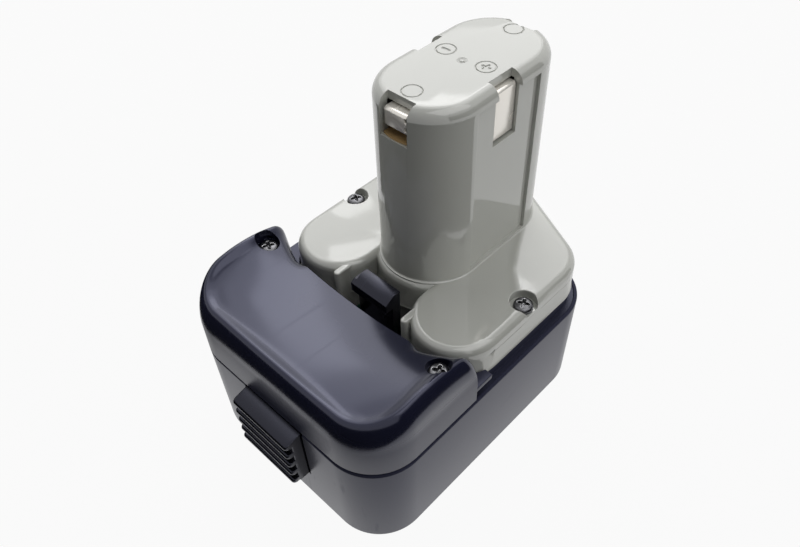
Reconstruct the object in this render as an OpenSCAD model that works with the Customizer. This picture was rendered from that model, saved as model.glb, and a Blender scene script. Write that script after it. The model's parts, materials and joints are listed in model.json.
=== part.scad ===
// Stem battery pack for a cordless tool: a dark lower case, a dark front cover, a grey stem cover
// that carries the terminals, one sprung latch, and ten sub-C cells inside.
// Millimetres. Z is up, the latch faces -Y, and the origin is under the stem on the base's flat face.

/* [Cells] */
// Diameter of a cell's steel can
cell_d = 22; // [21.4:0.1:22.4]
// Length of a cell from its base to its shoulder
cell_len = 42.2; // [40:0.2:44]
// Height of a cell's positive cap above its shoulder
cap_h = 0.8; // [0.5:0.1:1.2]
// Wall of a cell's shrink sleeve
sleeve_t = 0.15; // [0.1:0.01:0.2]
// Distance from the middle to each side column of cells
column_x = 23.4; // [23:0.1:24]
// Place of the rear cells of the side columns
rear_cell_y = 5; // [4:0.25:6]
// Distance from the rear cells to the middle cells of a side column
screw_bay = 32; // [31:0.25:33]
// Distance from the middle cells to the front cells of a side column
cover_bay = 35; // [34:0.25:36]
// Distance between the two cells in the stem
stem_pitch = 23.2; // [22.9:0.1:24]

/* [Lower case] */
// Wall of the lower case
case_wall = 2.4; // [1.8:0.1:3]
// Floor of the lower case
floor_t = 2.2; // [1.6:0.1:3]
// Height of the lower case's rim
rim_z = 34.8; // [33:0.2:37]
// Radius of the two front corners
front_r = 15.4; // [13:0.2:17]
// Radius along the bottom edge
foot_r = 1.6; // [0.8:0.1:2.4]
// How much the walls lean in from the rim to the floor, for the mould
draft = 0.5; // [0:0.1:0.8]

/* [Front cover] */
// Wall of the front cover
cover_wall = 2.3; // [1.8:0.1:2.8]
// Height of the front cover's side crests above the shoulders
crest_rise = 7; // [5:0.25:9]
// Depth of the hollow between the side crests, at the rear edge
scoop_drop = 7.7; // [5:0.1:9]
// Gap between the front cover's rear edge and the shoulders
cover_gap = 3.15; // [2.6:0.05:4]

/* [Stem cover] */
// Wall of the shoulders around the cells
shoulder_wall = 2; // [1.6:0.1:2.4]
// Roof of the shoulders
roof_t = 2.4; // [1.8:0.1:3]
// Rounding along the top edge of the shoulders
shoulder_round = 2.5; // [1:0.1:3]
// Wall of the stem
stem_wall = 2.8; // [2.2:0.1:3.2]
// Top plate of the stem
stem_top_t = 2.4; // [1.8:0.1:3]
// Rounding along the top edge of the stem
stem_round = 3.6; // [1.5:0.1:4]
// Width of each terminal window
window_w = 9.2; // [8:0.2:10]
// Height of the plus and minus windows
side_window_h = 17.9; // [15:0.1:18.5]
// Height of the two end windows
end_window_h = 11; // [9:0.2:11.4]

/* [Latch] */
// Width of the ribbed push button
button_w = 22.8; // [20:0.2:24]
// How far the button's ribs stand out of the case
button_out = 5.5; // [4.5:0.1:7]
// Height of the button below the rim
button_h = 20.6; // [18:0.2:22]
// Number of grooves in the button
groove_n = 4; // [3:1:5]
// Width of the hook
hook_w = 14; // [10:0.5:16]
// Height of the hook's tip above the shoulders
hook_rise = 2; // [0.5:0.25:3]
// How far the button travels
travel = 3.5; // [2.5:0.25:4]

/* [Screws] */
// Diameter of a screw's head
screw_head_d = 4.8; // [4.2:0.1:5.4]
// Diameter of a screw's shank
shank_d = 2.5; // [2:0.1:3]
// Distance from the middle to each screw
screw_x = 33.6; // [33.2:0.1:34]

/* [Hidden] */
$fn = 48;
eps = 0.02;
over = 1;

navy = [0.17, 0.18, 0.23];
grey = [0.72, 0.73, 0.70];
black = [0.05, 0.05, 0.06];

// Clearances
slip = 0.2;          // beside a cell, or between two shells
fit = 0.1;           // between stacked sheets and their neighbours
slide_gap = 0.3;     // beside the moving latch

// Cells and their stack
sleeve_r = cell_d / 2 + sleeve_t;
pad_t = 0.6;         // foam under the cells
link_t = 0.2;        // nickel strip
card_t = 0.4;        // insulating card
foam_t = 0.9;        // foam above the cells
cell_z = floor_t + pad_t + link_t;
cell_top = cell_z + cell_len + cap_h;
card_z = cell_top + link_t;
foam_z = card_z + card_t;
roof_z = foam_z + foam_t + fit;
shoulder_z = roof_z + roof_t;
middle_cell_y = rear_cell_y - screw_bay;
front_cell_y = middle_cell_y - cover_bay;
side_rows = [rear_cell_y, middle_cell_y, front_cell_y];
stem_y = stem_pitch / 2;

// The stem's stack
spacer_t = 3.6;
stem_cell_z = foam_z + spacer_t + link_t;
stem_cell_top = stem_cell_z + cell_len + cap_h;
washer_t = 0.5;
holder_z = stem_cell_top + link_t + washer_t;
holder_h = 9.2;
sheet_t = 0.6;       // contact sheet
contact_top = holder_z + holder_h + sheet_t;
top_gap = 0.5;
stem_inner_top = contact_top + top_gap;
stem_top = stem_inner_top + stem_top_t;
stem_clear = 1.3;
stem_inner_r = sleeve_r + stem_clear;
stem_r = stem_inner_r + stem_wall;
lead_r = 0.6;        // thin leads, in the waist between the stem's cells
lead_in = 2;
lead_x = stem_inner_r - lead_in;
riser_x = lead_x - lead_r - link_t - slide_gap;

// Plan sizes of the shoulders and of the lower case
shoulder_r = sleeve_r + slip + shoulder_wall;
shoulder_x = column_x + shoulder_r;
rear_out = 2.75;     // shoulder behind the stem
rear_r = stem_r + rear_out;
ledge_out = 1.65;    // ledge in front of the stem
ledge_r = stem_r + ledge_out;
case_x = shoulder_x + slip + case_wall;
front_clear = 0.9;
front_y = front_cell_y - sleeve_r - front_clear - case_wall;
corner_r = shoulder_r + slip + case_wall;
case_rear_r = rear_r + slip + case_wall;
front_cx = case_x - front_r;
front_cy = front_y + front_r;
cover_rear_y = middle_cell_y - shoulder_r - cover_gap;

// Joints between the shells
skirt_step = 1.2;    // the shoulder's skirt stands in from its skin
skirt_deep = 3.8;
skirt_z = rim_z - skirt_deep;
skin_rise = 4;
skin_z = rim_z + skin_rise;
foot_bead = 0.25;    // the skin's foot stands out a little
ledge_drop = 0.5;    // inner ledge of the rim below the rim
lip_t = 1.2;         // outer lip of the rim
rim_round = 0.8;     // rounding of the rim's outer edge
collar_t = 0.75;     // collar behind the ledge, below the skin's foot
collar_root = 2;
collar_under = 1.2;
collar_ramp = 0.5;
collar_end = 9;
collar_y = middle_cell_y - collar_end;

// Screws
cover_screw_in = 3.1;
cover_screw_y = cover_rear_y - cover_screw_in;
screw_shift = 0.2;
stem_screw_y = rear_cell_y - screw_bay / 2 - screw_shift;
head_h = 1.7;
bore_d = shank_d + fit;
hole_clear = 0.7;
hole_d = shank_d + hole_clear;
boss_r = 2.6;
seat_t = 2.4;        // plastic under a screw's head
bore_depth = 13;
bore_end = 2;
shank_len = seat_t + bore_depth - bore_end;
cover_sink_r = 3.5;
cover_seat_rise = 1.4;
cover_seat_z = shoulder_z + cover_seat_rise;
sink_h = 9;          // open height over a sunk screw
notch_r = 4;
pad_rim = 1.4;
notch_depth = 2.8;
stem_seat_z = shoulder_z - notch_depth;

// Latch
slot_gap = 0.6;
slot_w = button_w + 2 * slot_gap;
button_top = rim_z - slide_gap;
button_low = rim_z - button_h;
plate_t = 1.8;
plate_rise = 2.6;
plate_drop = 2.2;
plate_y = front_y + case_wall + draft + slide_gap;
arm_h = 5;
arm_w = 16;
arm_drop = 0.9;
arm_z = rim_z - arm_h - arm_drop;
nose_out = 2.5;
post_t = 3.2;
hook_ahead = 6;
hook_rear_y = middle_cell_y - hook_ahead;
hook_z = shoulder_z + hook_rise;
nose_h = 5;
nose_bevel = 1.6;
web_t = 2;
web_w = 19;
spring_room = 13.8;
spring_web_y = plate_y + plate_t + spring_room;
web_behind = 1;
rear_web_y = cover_rear_y + web_behind;
spring_od = 8;
wire_d = 0.9;
spring_rise = 6;
spring_z = button_low + spring_rise;
spring_turns = 7;
spigot_r = 2.2;
spigot_l = 3.6;

// Outline helpers: an arc is [centre x, centre y, radius, first angle, last angle]
function arc(a, inset, n) = [for (i = [0:n]) let (t = a[3] + (a[4] - a[3]) * i / n)
    [a[0] + (a[2] - inset) * cos(t), a[1] + (a[2] - inset) * sin(t)]];
function raise(points, z) = [for (p = points) [p[0], p[1], z]];
function lean(c1, r1, c2, r2) = let (dx = c1[0] - c2[0], dy = c1[1] - c2[1])
    atan2(dy, dx) + acos((r2 - r1) / norm([dx, dy]));
function ease(t) = let (u = max(0, min(1, t))) u * u * (3 - 2 * u);

// A closed skin through rings of points that have the same count. Each cap is a list of convex faces
module loft(rings, caps = []) {
    n = len(rings[0]);
    m = len(rings);
    cap_faces = len(caps) > 0 ? caps : [[for (i = [0:n - 1]) i]];
    polyhedron(points = [for (r = rings) each r], convexity = 8, faces = concat(
        cap_faces,
        [for (c = cap_faces) [for (i = [len(c) - 1:-1:0]) (m - 1) * n + c[i]]],
        [for (k = [0:m - 2]) for (i = [0:n - 1]) [k * n + i, (k + 1) * n + i, (k + 1) * n + (i + 1) % n]],
        [for (k = [0:m - 2]) for (i = [0:n - 1])
            [k * n + i, (k + 1) * n + (i + 1) % n, k * n + (i + 1) % n]]));
}

module both_sides() {
    children();
    mirror([1, 0, 0]) children();
}

// Lower case
case_steps = 10;
case_lean = lean([column_x, rear_cell_y], corner_r, [0, stem_y], case_rear_r);
function case_ring(inset) = concat(
    arc([front_cx, front_cy, front_r, -90, 0], inset, case_steps),
    [[case_x - inset, collar_y - collar_ramp], [case_x - inset, collar_y]],
    arc([column_x, rear_cell_y, corner_r, 0, case_lean], inset, case_steps),
    arc([0, stem_y, case_rear_r, case_lean, 180 - case_lean], inset, case_steps),
    arc([-column_x, rear_cell_y, corner_r, 180 - case_lean, 180], inset, case_steps),
    [[inset - case_x, collar_y], [inset - case_x, collar_y - collar_ramp]],
    arc([-front_cx, front_cy, front_r, 180, 270], inset, case_steps));
function case_inset(z) = draft * (1 - z / rim_z);

// A ring that runs along the collar at the sides and the rear, and flat along the ledge in front of it
ledge_z = rim_z - ledge_drop;
function collar_ring(inset, z, share) = let (
    rear = case_ring(inset), front = case_ring(lip_t + (case_wall - lip_t) * share))
    [for (i = [0:len(rear) - 1]) rear[i][1] > collar_y - collar_ramp / 2
        ? [rear[i][0], rear[i][1], z] : [front[i][0], front[i][1], ledge_z]];

module case_shell() {
    // up the outside, in over the rounded lip and the ledge, over the collar, and down the inside
    collar_in = case_wall + skirt_step;
    collar_top = skin_z - fit;
    under_z = ledge_z - collar_root - collar_under;
    foot = [for (t = [0:22.5:90]) [foot_r * (1 - sin(t)), foot_r * (1 - cos(t))]];
    edge = [for (t = [0:30:90]) [rim_round * (1 - cos(t)), rim_round * (sin(t) - 1)]];
    loft(concat(
        [for (p = foot) raise(case_ring(case_inset(p[1]) + p[0]), p[1])],
        [for (p = edge) raise(case_ring(p[0]), rim_z + p[1])],
        [raise(case_ring(lip_t), rim_z),
            raise(case_ring(lip_t), ledge_z),
            collar_ring(collar_in - collar_t, ledge_z, 1 / 4),
            collar_ring(collar_in - collar_t, collar_top, 1 / 2),
            collar_ring(collar_in, collar_top, 3 / 4),
            collar_ring(collar_in, ledge_z - collar_root, 1),
            raise(case_ring(case_inset(under_z) + case_wall), under_z),
            raise(case_ring(case_inset(floor_t) + case_wall), floor_t)]));
}

module boss(y, top) {
    translate([screw_x, y, floor_t - eps]) cylinder(r = boss_r, h = top - floor_t + eps);
}

module boss_rib(y) {
    // joins the boss to the side wall below the ledge
    translate([screw_x, y - web_t / 2, floor_t - eps])
        cube([case_x - case_wall / 2 - draft - screw_x, web_t, skirt_z - web_t - floor_t]);
}

module web(y, top) {
    translate([-web_w / 2, y, floor_t - eps]) cube([web_w, web_t, top - floor_t + eps]);
}

module cell_rib(y) {
    // keeps a side cell off the wall, below the skirt
    translate([column_x + sleeve_r + slip, y - web_t / 2, floor_t - eps])
        cube([case_x - case_wall / 2 - draft - column_x - sleeve_r - slip, web_t, skirt_z - web_t - floor_t]);
}

module lower_case() {
    color(navy) difference() {
        union() {
            case_shell();
            both_sides() {
                boss(cover_screw_y, cover_seat_z - seat_t);
                boss(stem_screw_y, stem_seat_z - seat_t);
                boss_rib(cover_screw_y);
                boss_rib(stem_screw_y);
                for (y = side_rows) cell_rib(y);
            }
            web(spring_web_y, arm_z - slide_gap);
            web(rear_web_y, arm_z - slide_gap);
            translate([0, spring_web_y + eps, spring_z]) rotate([90, 0, 0])
                cylinder(r = spigot_r, h = spigot_l + eps);
        }
        both_sides() {
            translate([screw_x, cover_screw_y, cover_seat_z - seat_t - bore_depth])
                cylinder(d = bore_d, h = bore_depth + over);
            translate([screw_x, stem_screw_y, stem_seat_z - seat_t - bore_depth])
                cylinder(d = bore_d, h = bore_depth + over);
        }
        translate([-slot_w / 2, front_y - over, button_low - slot_gap])
            cube([slot_w, case_wall + draft + 2 * over, button_h + slot_gap + over]);
    }
}

// Front cover
// Top surface: side crests that arch from front to rear, a hollow between them, and a rounded edge
round_out = 3.2;
round_down = 7;
crest_inset = 1.9;
crest_in = case_x - crest_inset;
crest_z = shoulder_z + crest_rise;
arch_r = 40;         // radius of the crests, seen from the side
arch_in = 10.5;
arch_y = cover_rear_y - arch_in;
bead_h = 0.8;
bead_w = 1.8;
tip_out = 6.2;       // the rear edge swings back beside the screws
tip_lead = 11.7;
tip_end = 8.4;
tip_from = screw_x - tip_lead;
tip_to = screw_x + tip_end;
tail_out = 3.5;      // and is rounded down there
tail_down = 3.8;
tail_lead = 2.1;
tail_len = 6;
front_fall = 4.2;
front_crest_z = crest_z - front_fall;
tongue_h = 3;
tongue_l = 12;
corner_in = 3;       // flat corner piece between the cover's end and the shoulder
corner_end = 4;
corner_drop = 9;
corner_t = 1.8;
stop_h = 5;

function side_z(y) = crest_z - pow(y - arch_y, 2) / (2 * arch_r);
function middle_z(y) = let (s = (y - front_y) / (cover_rear_y - front_y))
    front_crest_z - (scoop_drop - crest_z + front_crest_z) * s * s;
function edge_gap(x, y) = let (ax = abs(x))
    y < front_cy && ax > front_cx ? front_r - norm([ax - front_cx, y - front_cy])
    : min(case_x - ax, y - front_y);
function rear_y(x) = cover_rear_y + tip_out * ease((abs(x) - tip_from) / (tip_to - tip_from));
function tail_drop(x, y) = let (d = max(0, min(1, 1 - (rear_y(x) - y) / tail_out)))
    tail_down * (1 - sqrt(1 - d * d)) * ease((abs(x) - tip_from + tail_lead) / tail_len);
function cover_z(x, y) = let (
    d = max(0, edge_gap(x, y)),
    hollow = middle_z(y) + (side_z(y) - middle_z(y)) * pow(min(1, abs(x) / crest_in), 2.2),
    bead = bead_h * exp(-pow((d - round_out) / bead_w, 2)),
    turn = d < round_out ? round_down * (1 - sqrt(1 - pow(1 - d / round_out, 2))) : 0)
    hollow + bead - turn - tail_drop(x, y);
function half_width(y, inset) = y < front_cy
    ? front_cx + sqrt(max(0, pow(front_r - inset, 2) - pow(y - front_cy, 2)))
    : case_x - inset;

// Rows run from front to rear, columns from left to right; both are closer together at the edges
row_shares = [0, 0.012, 0.035, 0.065, 0.1, 0.14, 0.2, 0.28, 0.37, 0.5, 0.65, 0.8, 0.9, 0.94, 0.96, 0.98, 0.99,
    0.997, 1];
column_shares = [0, 0.12, 0.26, 0.4, 0.54, 0.67, 0.78, 0.86, 0.91, 0.945, 0.97, 0.988, 1];
column_row = concat([for (i = [len(column_shares) - 1:-1:1]) -column_shares[i]], column_shares);

function cover_point(share, column, inset, sink) = let (
    y0 = front_y + inset + (cover_rear_y - front_y - 2 * inset) * share,
    x = column * half_width(y0, inset),
    y = y0 + (rear_y(x) - cover_rear_y) * pow(share, 4))
    [x, y, cover_z(x, y) - sink];

module cover_shell() {
    // an outer and an inner height field over the cover's plan, joined along the rim
    rows = len(row_shares);
    cols = len(column_row);
    outer = [for (r = row_shares) for (c = column_row) cover_point(r, c, 0, 0)];
    inner = [for (r = row_shares) for (c = column_row) cover_point(r, c, cover_wall, cover_wall)];
    count = rows * cols;
    edge = concat([for (j = [0:cols - 2]) j], [for (i = [0:rows - 2]) i * cols + cols - 1],
        [for (j = [cols - 1:-1:1]) (rows - 1) * cols + j], [for (i = [rows - 1:-1:1]) i * cols]);
    m = len(edge);
    outer_rim = [for (k = edge) [outer[k][0], outer[k][1], rim_z]];
    inner_rim = [for (k = edge) [inner[k][0], inner[k][1], rim_z]];
    grid = [for (i = [0:rows - 2]) for (j = [0:cols - 2]) let (a = i * cols + j)
        each [[a, a + cols, a + cols + 1], [a, a + cols + 1, a + 1]]];
    polyhedron(points = concat(outer, inner, outer_rim, inner_rim), convexity = 8, faces = concat(
        grid,
        [for (f = grid) [f[2] + count, f[1] + count, f[0] + count]],
        [for (k = [0:m - 1]) let (
            k2 = (k + 1) % m, a = edge[k], b = edge[k2], c = 2 * count + k, d = 2 * count + k2)
            each [[a, b, d], [a, d, c]]],
        [for (k = [0:m - 1]) let (k2 = (k + 1) % m, c = 2 * count + k, d = 2 * count + k2)
            each [[c, d, d + m], [c, d + m, c + m]]],
        [for (k = [0:m - 1]) let (
            k2 = (k + 1) % m, a = edge[k] + count, b = edge[k2] + count,
            c = 2 * count + m + k, d = 2 * count + m + k2)
            each [[c, d, b], [c, b, a]]]));
}

module cover_screw_boss() {
    translate([screw_x, cover_screw_y, cover_seat_z - seat_t])
        cylinder(r = cover_sink_r + cover_wall / 2, h = seat_t + cover_wall / 2);
}

module cover_tongue() {
    // locates the cover inside the lower case
    x = case_x - case_wall - slide_gap;
    translate([x - case_wall / 2, front_cy, rim_z - tongue_h])
        cube([case_wall / 2, tongue_l, tongue_h + cover_wall]);
    translate([x - case_wall / 2, front_cy, rim_z + fit])
        cube([case_wall + slide_gap, tongue_l, cover_wall]);
}

module corner_plate() {
    corner_z = shoulder_z - corner_drop;
    root_y = cover_screw_y + boss_r + slip;
    difference() {
        translate([screw_x - corner_in, root_y, corner_z - corner_t])
            cube([case_x - slip - screw_x + corner_in, middle_cell_y - corner_end - root_y, corner_t]);
        translate([column_x, middle_cell_y, corner_z - corner_t - over])
            cylinder(r = shoulder_r + foot_bead + slip, h = corner_t + 2 * over);
    }
}

module cell_stop() {
    // presses on the foam over a front cell
    translate([column_x - web_t / 2, front_cell_y - sleeve_r / 2, foam_z + foam_t + fit])
        cube([web_t, sleeve_r, stop_h]);
}

module front_cover() {
    color(navy) difference() {
        union() {
            cover_shell();
            both_sides() {
                cover_screw_boss();
                cover_tongue();
                corner_plate();
                cell_stop();
            }
        }
        both_sides() {
            translate([screw_x, cover_screw_y, cover_seat_z]) cylinder(r = cover_sink_r, h = sink_h);
            translate([screw_x, cover_screw_y, cover_seat_z - seat_t - over])
                cylinder(d = hole_d, h = seat_t + 2 * over);
        }
    }
}

// Stem cover
shoulder_steps = 8;
shoulder_lean = lean([column_x, rear_cell_y], shoulder_r, [0, stem_y], rear_r);
function notch_angle(inset) = acos((column_x - shoulder_r + inset) / (ledge_r - inset));
function shoulder_ring(inset) = concat(
    arc([column_x, rear_cell_y, shoulder_r, 0, shoulder_lean], inset, shoulder_steps),
    arc([0, stem_y, rear_r, shoulder_lean, 180 - shoulder_lean], inset, shoulder_steps),
    arc([-column_x, rear_cell_y, shoulder_r, 180 - shoulder_lean, 180], inset, shoulder_steps),
    arc([-column_x, middle_cell_y, shoulder_r, 180, 360], inset, 2 * shoulder_steps),
    arc([0, -stem_y, ledge_r, 180 + notch_angle(inset), 360 - notch_angle(inset)], inset, shoulder_steps),
    arc([column_x, middle_cell_y, shoulder_r, 180, 360], inset, 2 * shoulder_steps));

// Index runs of the ring's six arcs, and the three convex faces of its caps
q = shoulder_steps + 1;
w = 2 * shoulder_steps + 1;
shoulder_caps = [
    concat([for (i = [3 * q + w + q:3 * q + 2 * w + q - 1]) i], [for (i = [0:q - 1]) i], [3 * q + w + q - 1]),
    concat([for (i = [q - 1:2 * q]) i], [for (i = [3 * q + w:3 * q + w + q - 1]) i]),
    concat([for (i = [2 * q:3 * q + w]) i])];

module shoulder_shell() {
    // down the inside from the roof, out under the skirt, and up the outside to the top
    turn = [for (t = [0:22.5:90]) [shoulder_round * (1 - cos(t)), shoulder_round * (sin(t) - 1)]];
    loft(concat(
        [raise(shoulder_ring(shoulder_wall), roof_z), raise(shoulder_ring(shoulder_wall), skirt_z),
            raise(shoulder_ring(skirt_step), skirt_z), raise(shoulder_ring(skirt_step), skin_z),
            raise(shoulder_ring(-foot_bead), skin_z), raise(shoulder_ring(-foot_bead), skin_z + foot_bead),
            raise(shoulder_ring(0), skin_z + 2 * foot_bead)],
        [for (p = turn) raise(shoulder_ring(p[0]), shoulder_z + p[1])]), shoulder_caps);
}

rib_t = 2.2;         // thin ribs beside the hook's channel
rib_in = 2.3;
rib_reach = 12.1;
rib_h = shoulder_z - 0.9 - skirt_z;
stem_steps = 16;
stem_flare = 0.6;
panel_in = 1;        // depth of the flat side panels
panel_half = 12.4;
panel_z = shoulder_z + stem_flare;
window_in = 0.95;
end_window_in = 1.35;
recess_in = 0.7;     // flat below each end window, fading out downwards
recess_h = 10;
end_window_y = stem_y + stem_inner_r - end_window_in;

function stem_ring(inset) = concat(
    arc([0, -stem_y, stem_r, 180, 360], inset, stem_steps),
    arc([0, stem_y, stem_r, 0, 180], inset, stem_steps));

module stem_skin() {
    flare = [for (t = [0:30:90]) [-stem_flare * (1 - sin(t)), stem_flare * (1 - cos(t))]];
    turn = [for (t = [0:22.5:90]) [stem_round * (1 - cos(t)), stem_round * (sin(t) - 1)]];
    loft(concat(
        [raise(stem_ring(-stem_flare), shoulder_z - roof_t / 2)],
        [for (p = flare) raise(stem_ring(p[0]), shoulder_z + p[1])],
        [for (p = turn) raise(stem_ring(p[0]), stem_top + p[1])]));
}

module stem_hollow() {
    loft([raise(stem_ring(stem_wall), roof_z - over), raise(stem_ring(stem_wall), stem_inner_top)]);
}

module side_panel() {
    translate([stem_r - panel_in, -panel_half, panel_z])
        cube([stem_wall, 2 * panel_half, stem_top - stem_round - panel_z]);
}

module side_window() {
    translate([stem_inner_r - window_in, -window_w / 2, stem_top - side_window_h])
        cube([window_in + stem_wall + over, window_w, side_window_h + over]);
}

module end_window() {
    translate([-window_w / 2, end_window_y, stem_top - end_window_h])
        cube([window_w, end_window_in + stem_wall + over, end_window_h + over]);
}

module end_recess() {
    sill = stem_top - end_window_h;
    wall_y = stem_y + stem_r;
    along_x(window_w) polygon([[wall_y - recess_in, sill + eps], [wall_y, sill - recess_h],
        [wall_y + over, sill - recess_h], [wall_y + over, sill + eps]]);
}

module screw_pad() {
    // floor under the screw notch in the shoulder
    intersection() {
        translate([screw_x, stem_screw_y, stem_seat_z - seat_t])
            cylinder(r = notch_r + pad_rim, h = shoulder_z - stem_seat_z + seat_t - roof_t / 2);
        translate([0, stem_screw_y - 2 * notch_r, skirt_z])
            cube([shoulder_x - eps, 4 * notch_r, shoulder_z - skirt_z]);
    }
}

module boss_slot() {
    // room for the lower case's screw boss inside the shoulder's wall
    translate([screw_x, stem_screw_y, skirt_z - over])
        cylinder(r = boss_r + slip, h = stem_seat_z - seat_t - skirt_z + over);
}

module channel_rib() {
    difference() {
        translate([column_x - shoulder_r + rib_in, middle_cell_y - rib_reach, skirt_z]) {
            translate([0, rib_t / 2, 0]) cube([rib_t, rib_reach / 2, rib_h]);
            translate([rib_t / 2, rib_t / 2, 0]) cylinder(d = rib_t, h = rib_h);
        }
        translate([column_x, middle_cell_y, skirt_z - over])
            cylinder(r = shoulder_r - shoulder_wall, h = rib_h + 2 * over);
    }
}

module stem_cover() {
    color(grey) difference() {
        union() {
            difference() {
                union() {
                    shoulder_shell();
                    stem_skin();
                }
                stem_hollow();
            }
            both_sides() {
                screw_pad();
                channel_rib();
            }
        }
        both_sides() {
            side_panel();
            side_window();
            boss_slot();
            translate([screw_x, stem_screw_y, stem_seat_z]) cylinder(r = notch_r, h = sink_h);
            translate([screw_x, stem_screw_y, stem_seat_z - seat_t - over])
                cylinder(d = hole_d, h = seat_t + 2 * over);
        }
        for (m = [0, 1]) mirror([0, m, 0]) {
            end_window();
            end_recess();
        }
    }
}

// Latch: button, retaining plate, arm and hook in one moulding
groove_deep = 2.2;
groove_share = 0.62;
groove_foot = 1.4;
lip_drop = 1.1;
lip_back = 0.8;
lip_rise = 0.5;
pitch = (button_h - groove_foot) / (groove_n + 0.5);
button_tip_y = front_y - button_out;

function button_profile() = concat(
    [[plate_y + eps, button_low], [button_tip_y + groove_deep, button_low]],
    [for (i = [groove_n:-1:0]) let (z = button_top - lip_drop - i * pitch) each [
        [button_tip_y + groove_deep, z - pitch * (1 - groove_share)],
        [button_tip_y, z - pitch * (1 - groove_share)],
        [button_tip_y, z],
        [button_tip_y + (i == 0 ? lip_back : groove_deep), i == 0 ? z + lip_rise : z]]],
    [[front_y - eps, button_top], [plate_y + eps, button_top]]);

module along_x(width) {
    translate([-width / 2, 0, 0]) rotate([90, 0, 90]) linear_extrude(width) children();
}

module latch() {
    post_y = hook_rear_y - post_t;
    color(black) union() {
        along_x(button_w) polygon(button_profile());
        along_x(button_w) translate([plate_y, button_low - plate_drop])
            square([plate_t, button_h + plate_drop + plate_rise - slide_gap]);
        along_x(arm_w) translate([plate_y, arm_z]) square([hook_rear_y - plate_y, arm_h]);
        along_x(hook_w) polygon([[post_y, arm_z], [hook_rear_y, arm_z], [hook_rear_y, hook_z],
            [post_y, hook_z], [post_y - nose_out, hook_z - nose_bevel],
            [post_y - nose_out, hook_z - nose_h], [post_y, hook_z - nose_h]]);
        translate([0, plate_y + plate_t - eps, spring_z]) rotate([-90, 0, 0])
            cylinder(r = spigot_r, h = spigot_l + eps);
    }
}

// Spring: one unbroken tube of 6 sides, 8 rings to a turn
spring_y0 = plate_y + plate_t + fit;
spring_y1 = spring_web_y - fit;
spring_r = (spring_od - wire_d) / 2;
spring_len = spring_y1 - spring_y0 - wire_d;
spring_rings = 8 * spring_turns;
function spring_ring(k) = let (
    t = 360 * k / 8,
    y = spring_y0 + wire_d / 2 + spring_len * k / spring_rings)
    [for (s = [0:5]) let (a = 60 * s, r = spring_r + wire_d / 2 * cos(a))
        [r * cos(t), y + wire_d / 2 * sin(a), spring_z + r * sin(t)]];
echo(spring_gap = spring_len / spring_turns - wire_d);

module latch_spring() {
    color("silver") loft([for (k = [0:spring_rings]) [for (s = [5:-1:0]) spring_ring(k)[s]]]);
}

// Screws
cross_share = 0.62;  // width of the cross recess
module screw() {
    // its seat is at the origin, and the shank points down
    cross = screw_head_d * cross_share;
    difference() {
        union() {
            intersection() {
                cylinder(d = screw_head_d, h = head_h);
                translate([0, 0, head_h - screw_head_d]) sphere(r = screw_head_d);
            }
            translate([0, 0, -shank_len]) cylinder(d = shank_d, h = shank_len + eps);
            translate([0, 0, -shank_len - shank_d / 2])
                cylinder(d1 = shank_d / 4, d2 = shank_d, h = shank_d / 2);
        }
        for (a = [0, 90]) rotate([0, 0, a + 20])
            translate([-cross / 2, -cross / 8, head_h / 3]) cube([cross, cross / 4, head_h]);
    }
}

module cover_screws() {
    color([0.1, 0.1, 0.11]) both_sides() translate([screw_x, cover_screw_y, cover_seat_z]) screw();
}

module stem_screws() {
    color([0.1, 0.1, 0.11]) both_sides() translate([screw_x, stem_screw_y, stem_seat_z]) screw();
}

// Cells
// Places of the ten cells, and whether the cap points up
cells = concat(
    [for (s = [-1, 1]) for (y = side_rows) [s * column_x, y, cell_z]],
    [for (s = [-1, 1]) [0, s * stem_y, cell_z]],
    [for (s = [-1, 1]) [0, s * stem_y, stem_cell_z]]);

cap_share = 0.45;    // width of the positive cap
module cell(i) {
    cap_d = cell_d * cap_share;
    flip = i % 2;
    color("silver") translate(cells[i]) translate([0, 0, flip * (cell_len + cap_h)]) mirror([0, 0, flip]) {
        cylinder(d = cell_d - 2 * fit, h = cell_len);
        translate([0, 0, cell_len - eps]) cylinder(d = cap_d, h = cap_h + eps);
    }
}

module sleeve(i) {
    flip = i % 2;
    color([0.2, 0.45, 0.3]) translate(cells[i] + [0, 0, flip * cap_h]) difference() {
        cylinder(r = sleeve_r, h = cell_len);
        translate([0, 0, -over]) cylinder(r = sleeve_r - sleeve_t, h = cell_len + 2 * over);
    }
}

// Nickel strips, foam and card
strip_w = 7;
module strip(p, q, z) {
    d = q - p;
    translate([p[0], p[1], z]) rotate([0, 0, atan2(d[1], d[0])]) translate([-strip_w / 2, -strip_w / 2, 0])
        cube([norm(d) + strip_w, strip_w, link_t]);
}

module bottom_links() {
    color([0.8, 0.8, 0.78]) {
        both_sides() strip([column_x, front_cell_y], [column_x, middle_cell_y], cell_z - link_t);
        strip([column_x, rear_cell_y], [0, -stem_y], cell_z - link_t);
        strip([-column_x, rear_cell_y], [0, stem_y], cell_z - link_t);
    }
}

module top_links() {
    color([0.8, 0.8, 0.78]) {
        both_sides() strip([column_x, middle_cell_y], [column_x, rear_cell_y], cell_top);
        strip([-column_x, front_cell_y], [column_x, front_cell_y], cell_top);
    }
}

module stem_links() {
    // weld tabs between the base's and the stem's cells, and risers from the stem's cells to the contacts
    tab = strip_w / 4;
    color([0.8, 0.8, 0.78]) for (s = [-1, 1]) {
        strip([0, s * stem_y - tab], [0, s * stem_y + tab], cell_top);
        strip([0, s * stem_y - tab], [0, s * stem_y + tab], stem_cell_z - link_t);
        translate([-strip_w / 2, s * stem_y - strip_w / 2, stem_cell_top]) cube([strip_w, strip_w, link_t]);
        riser(s);
    }
}

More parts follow.
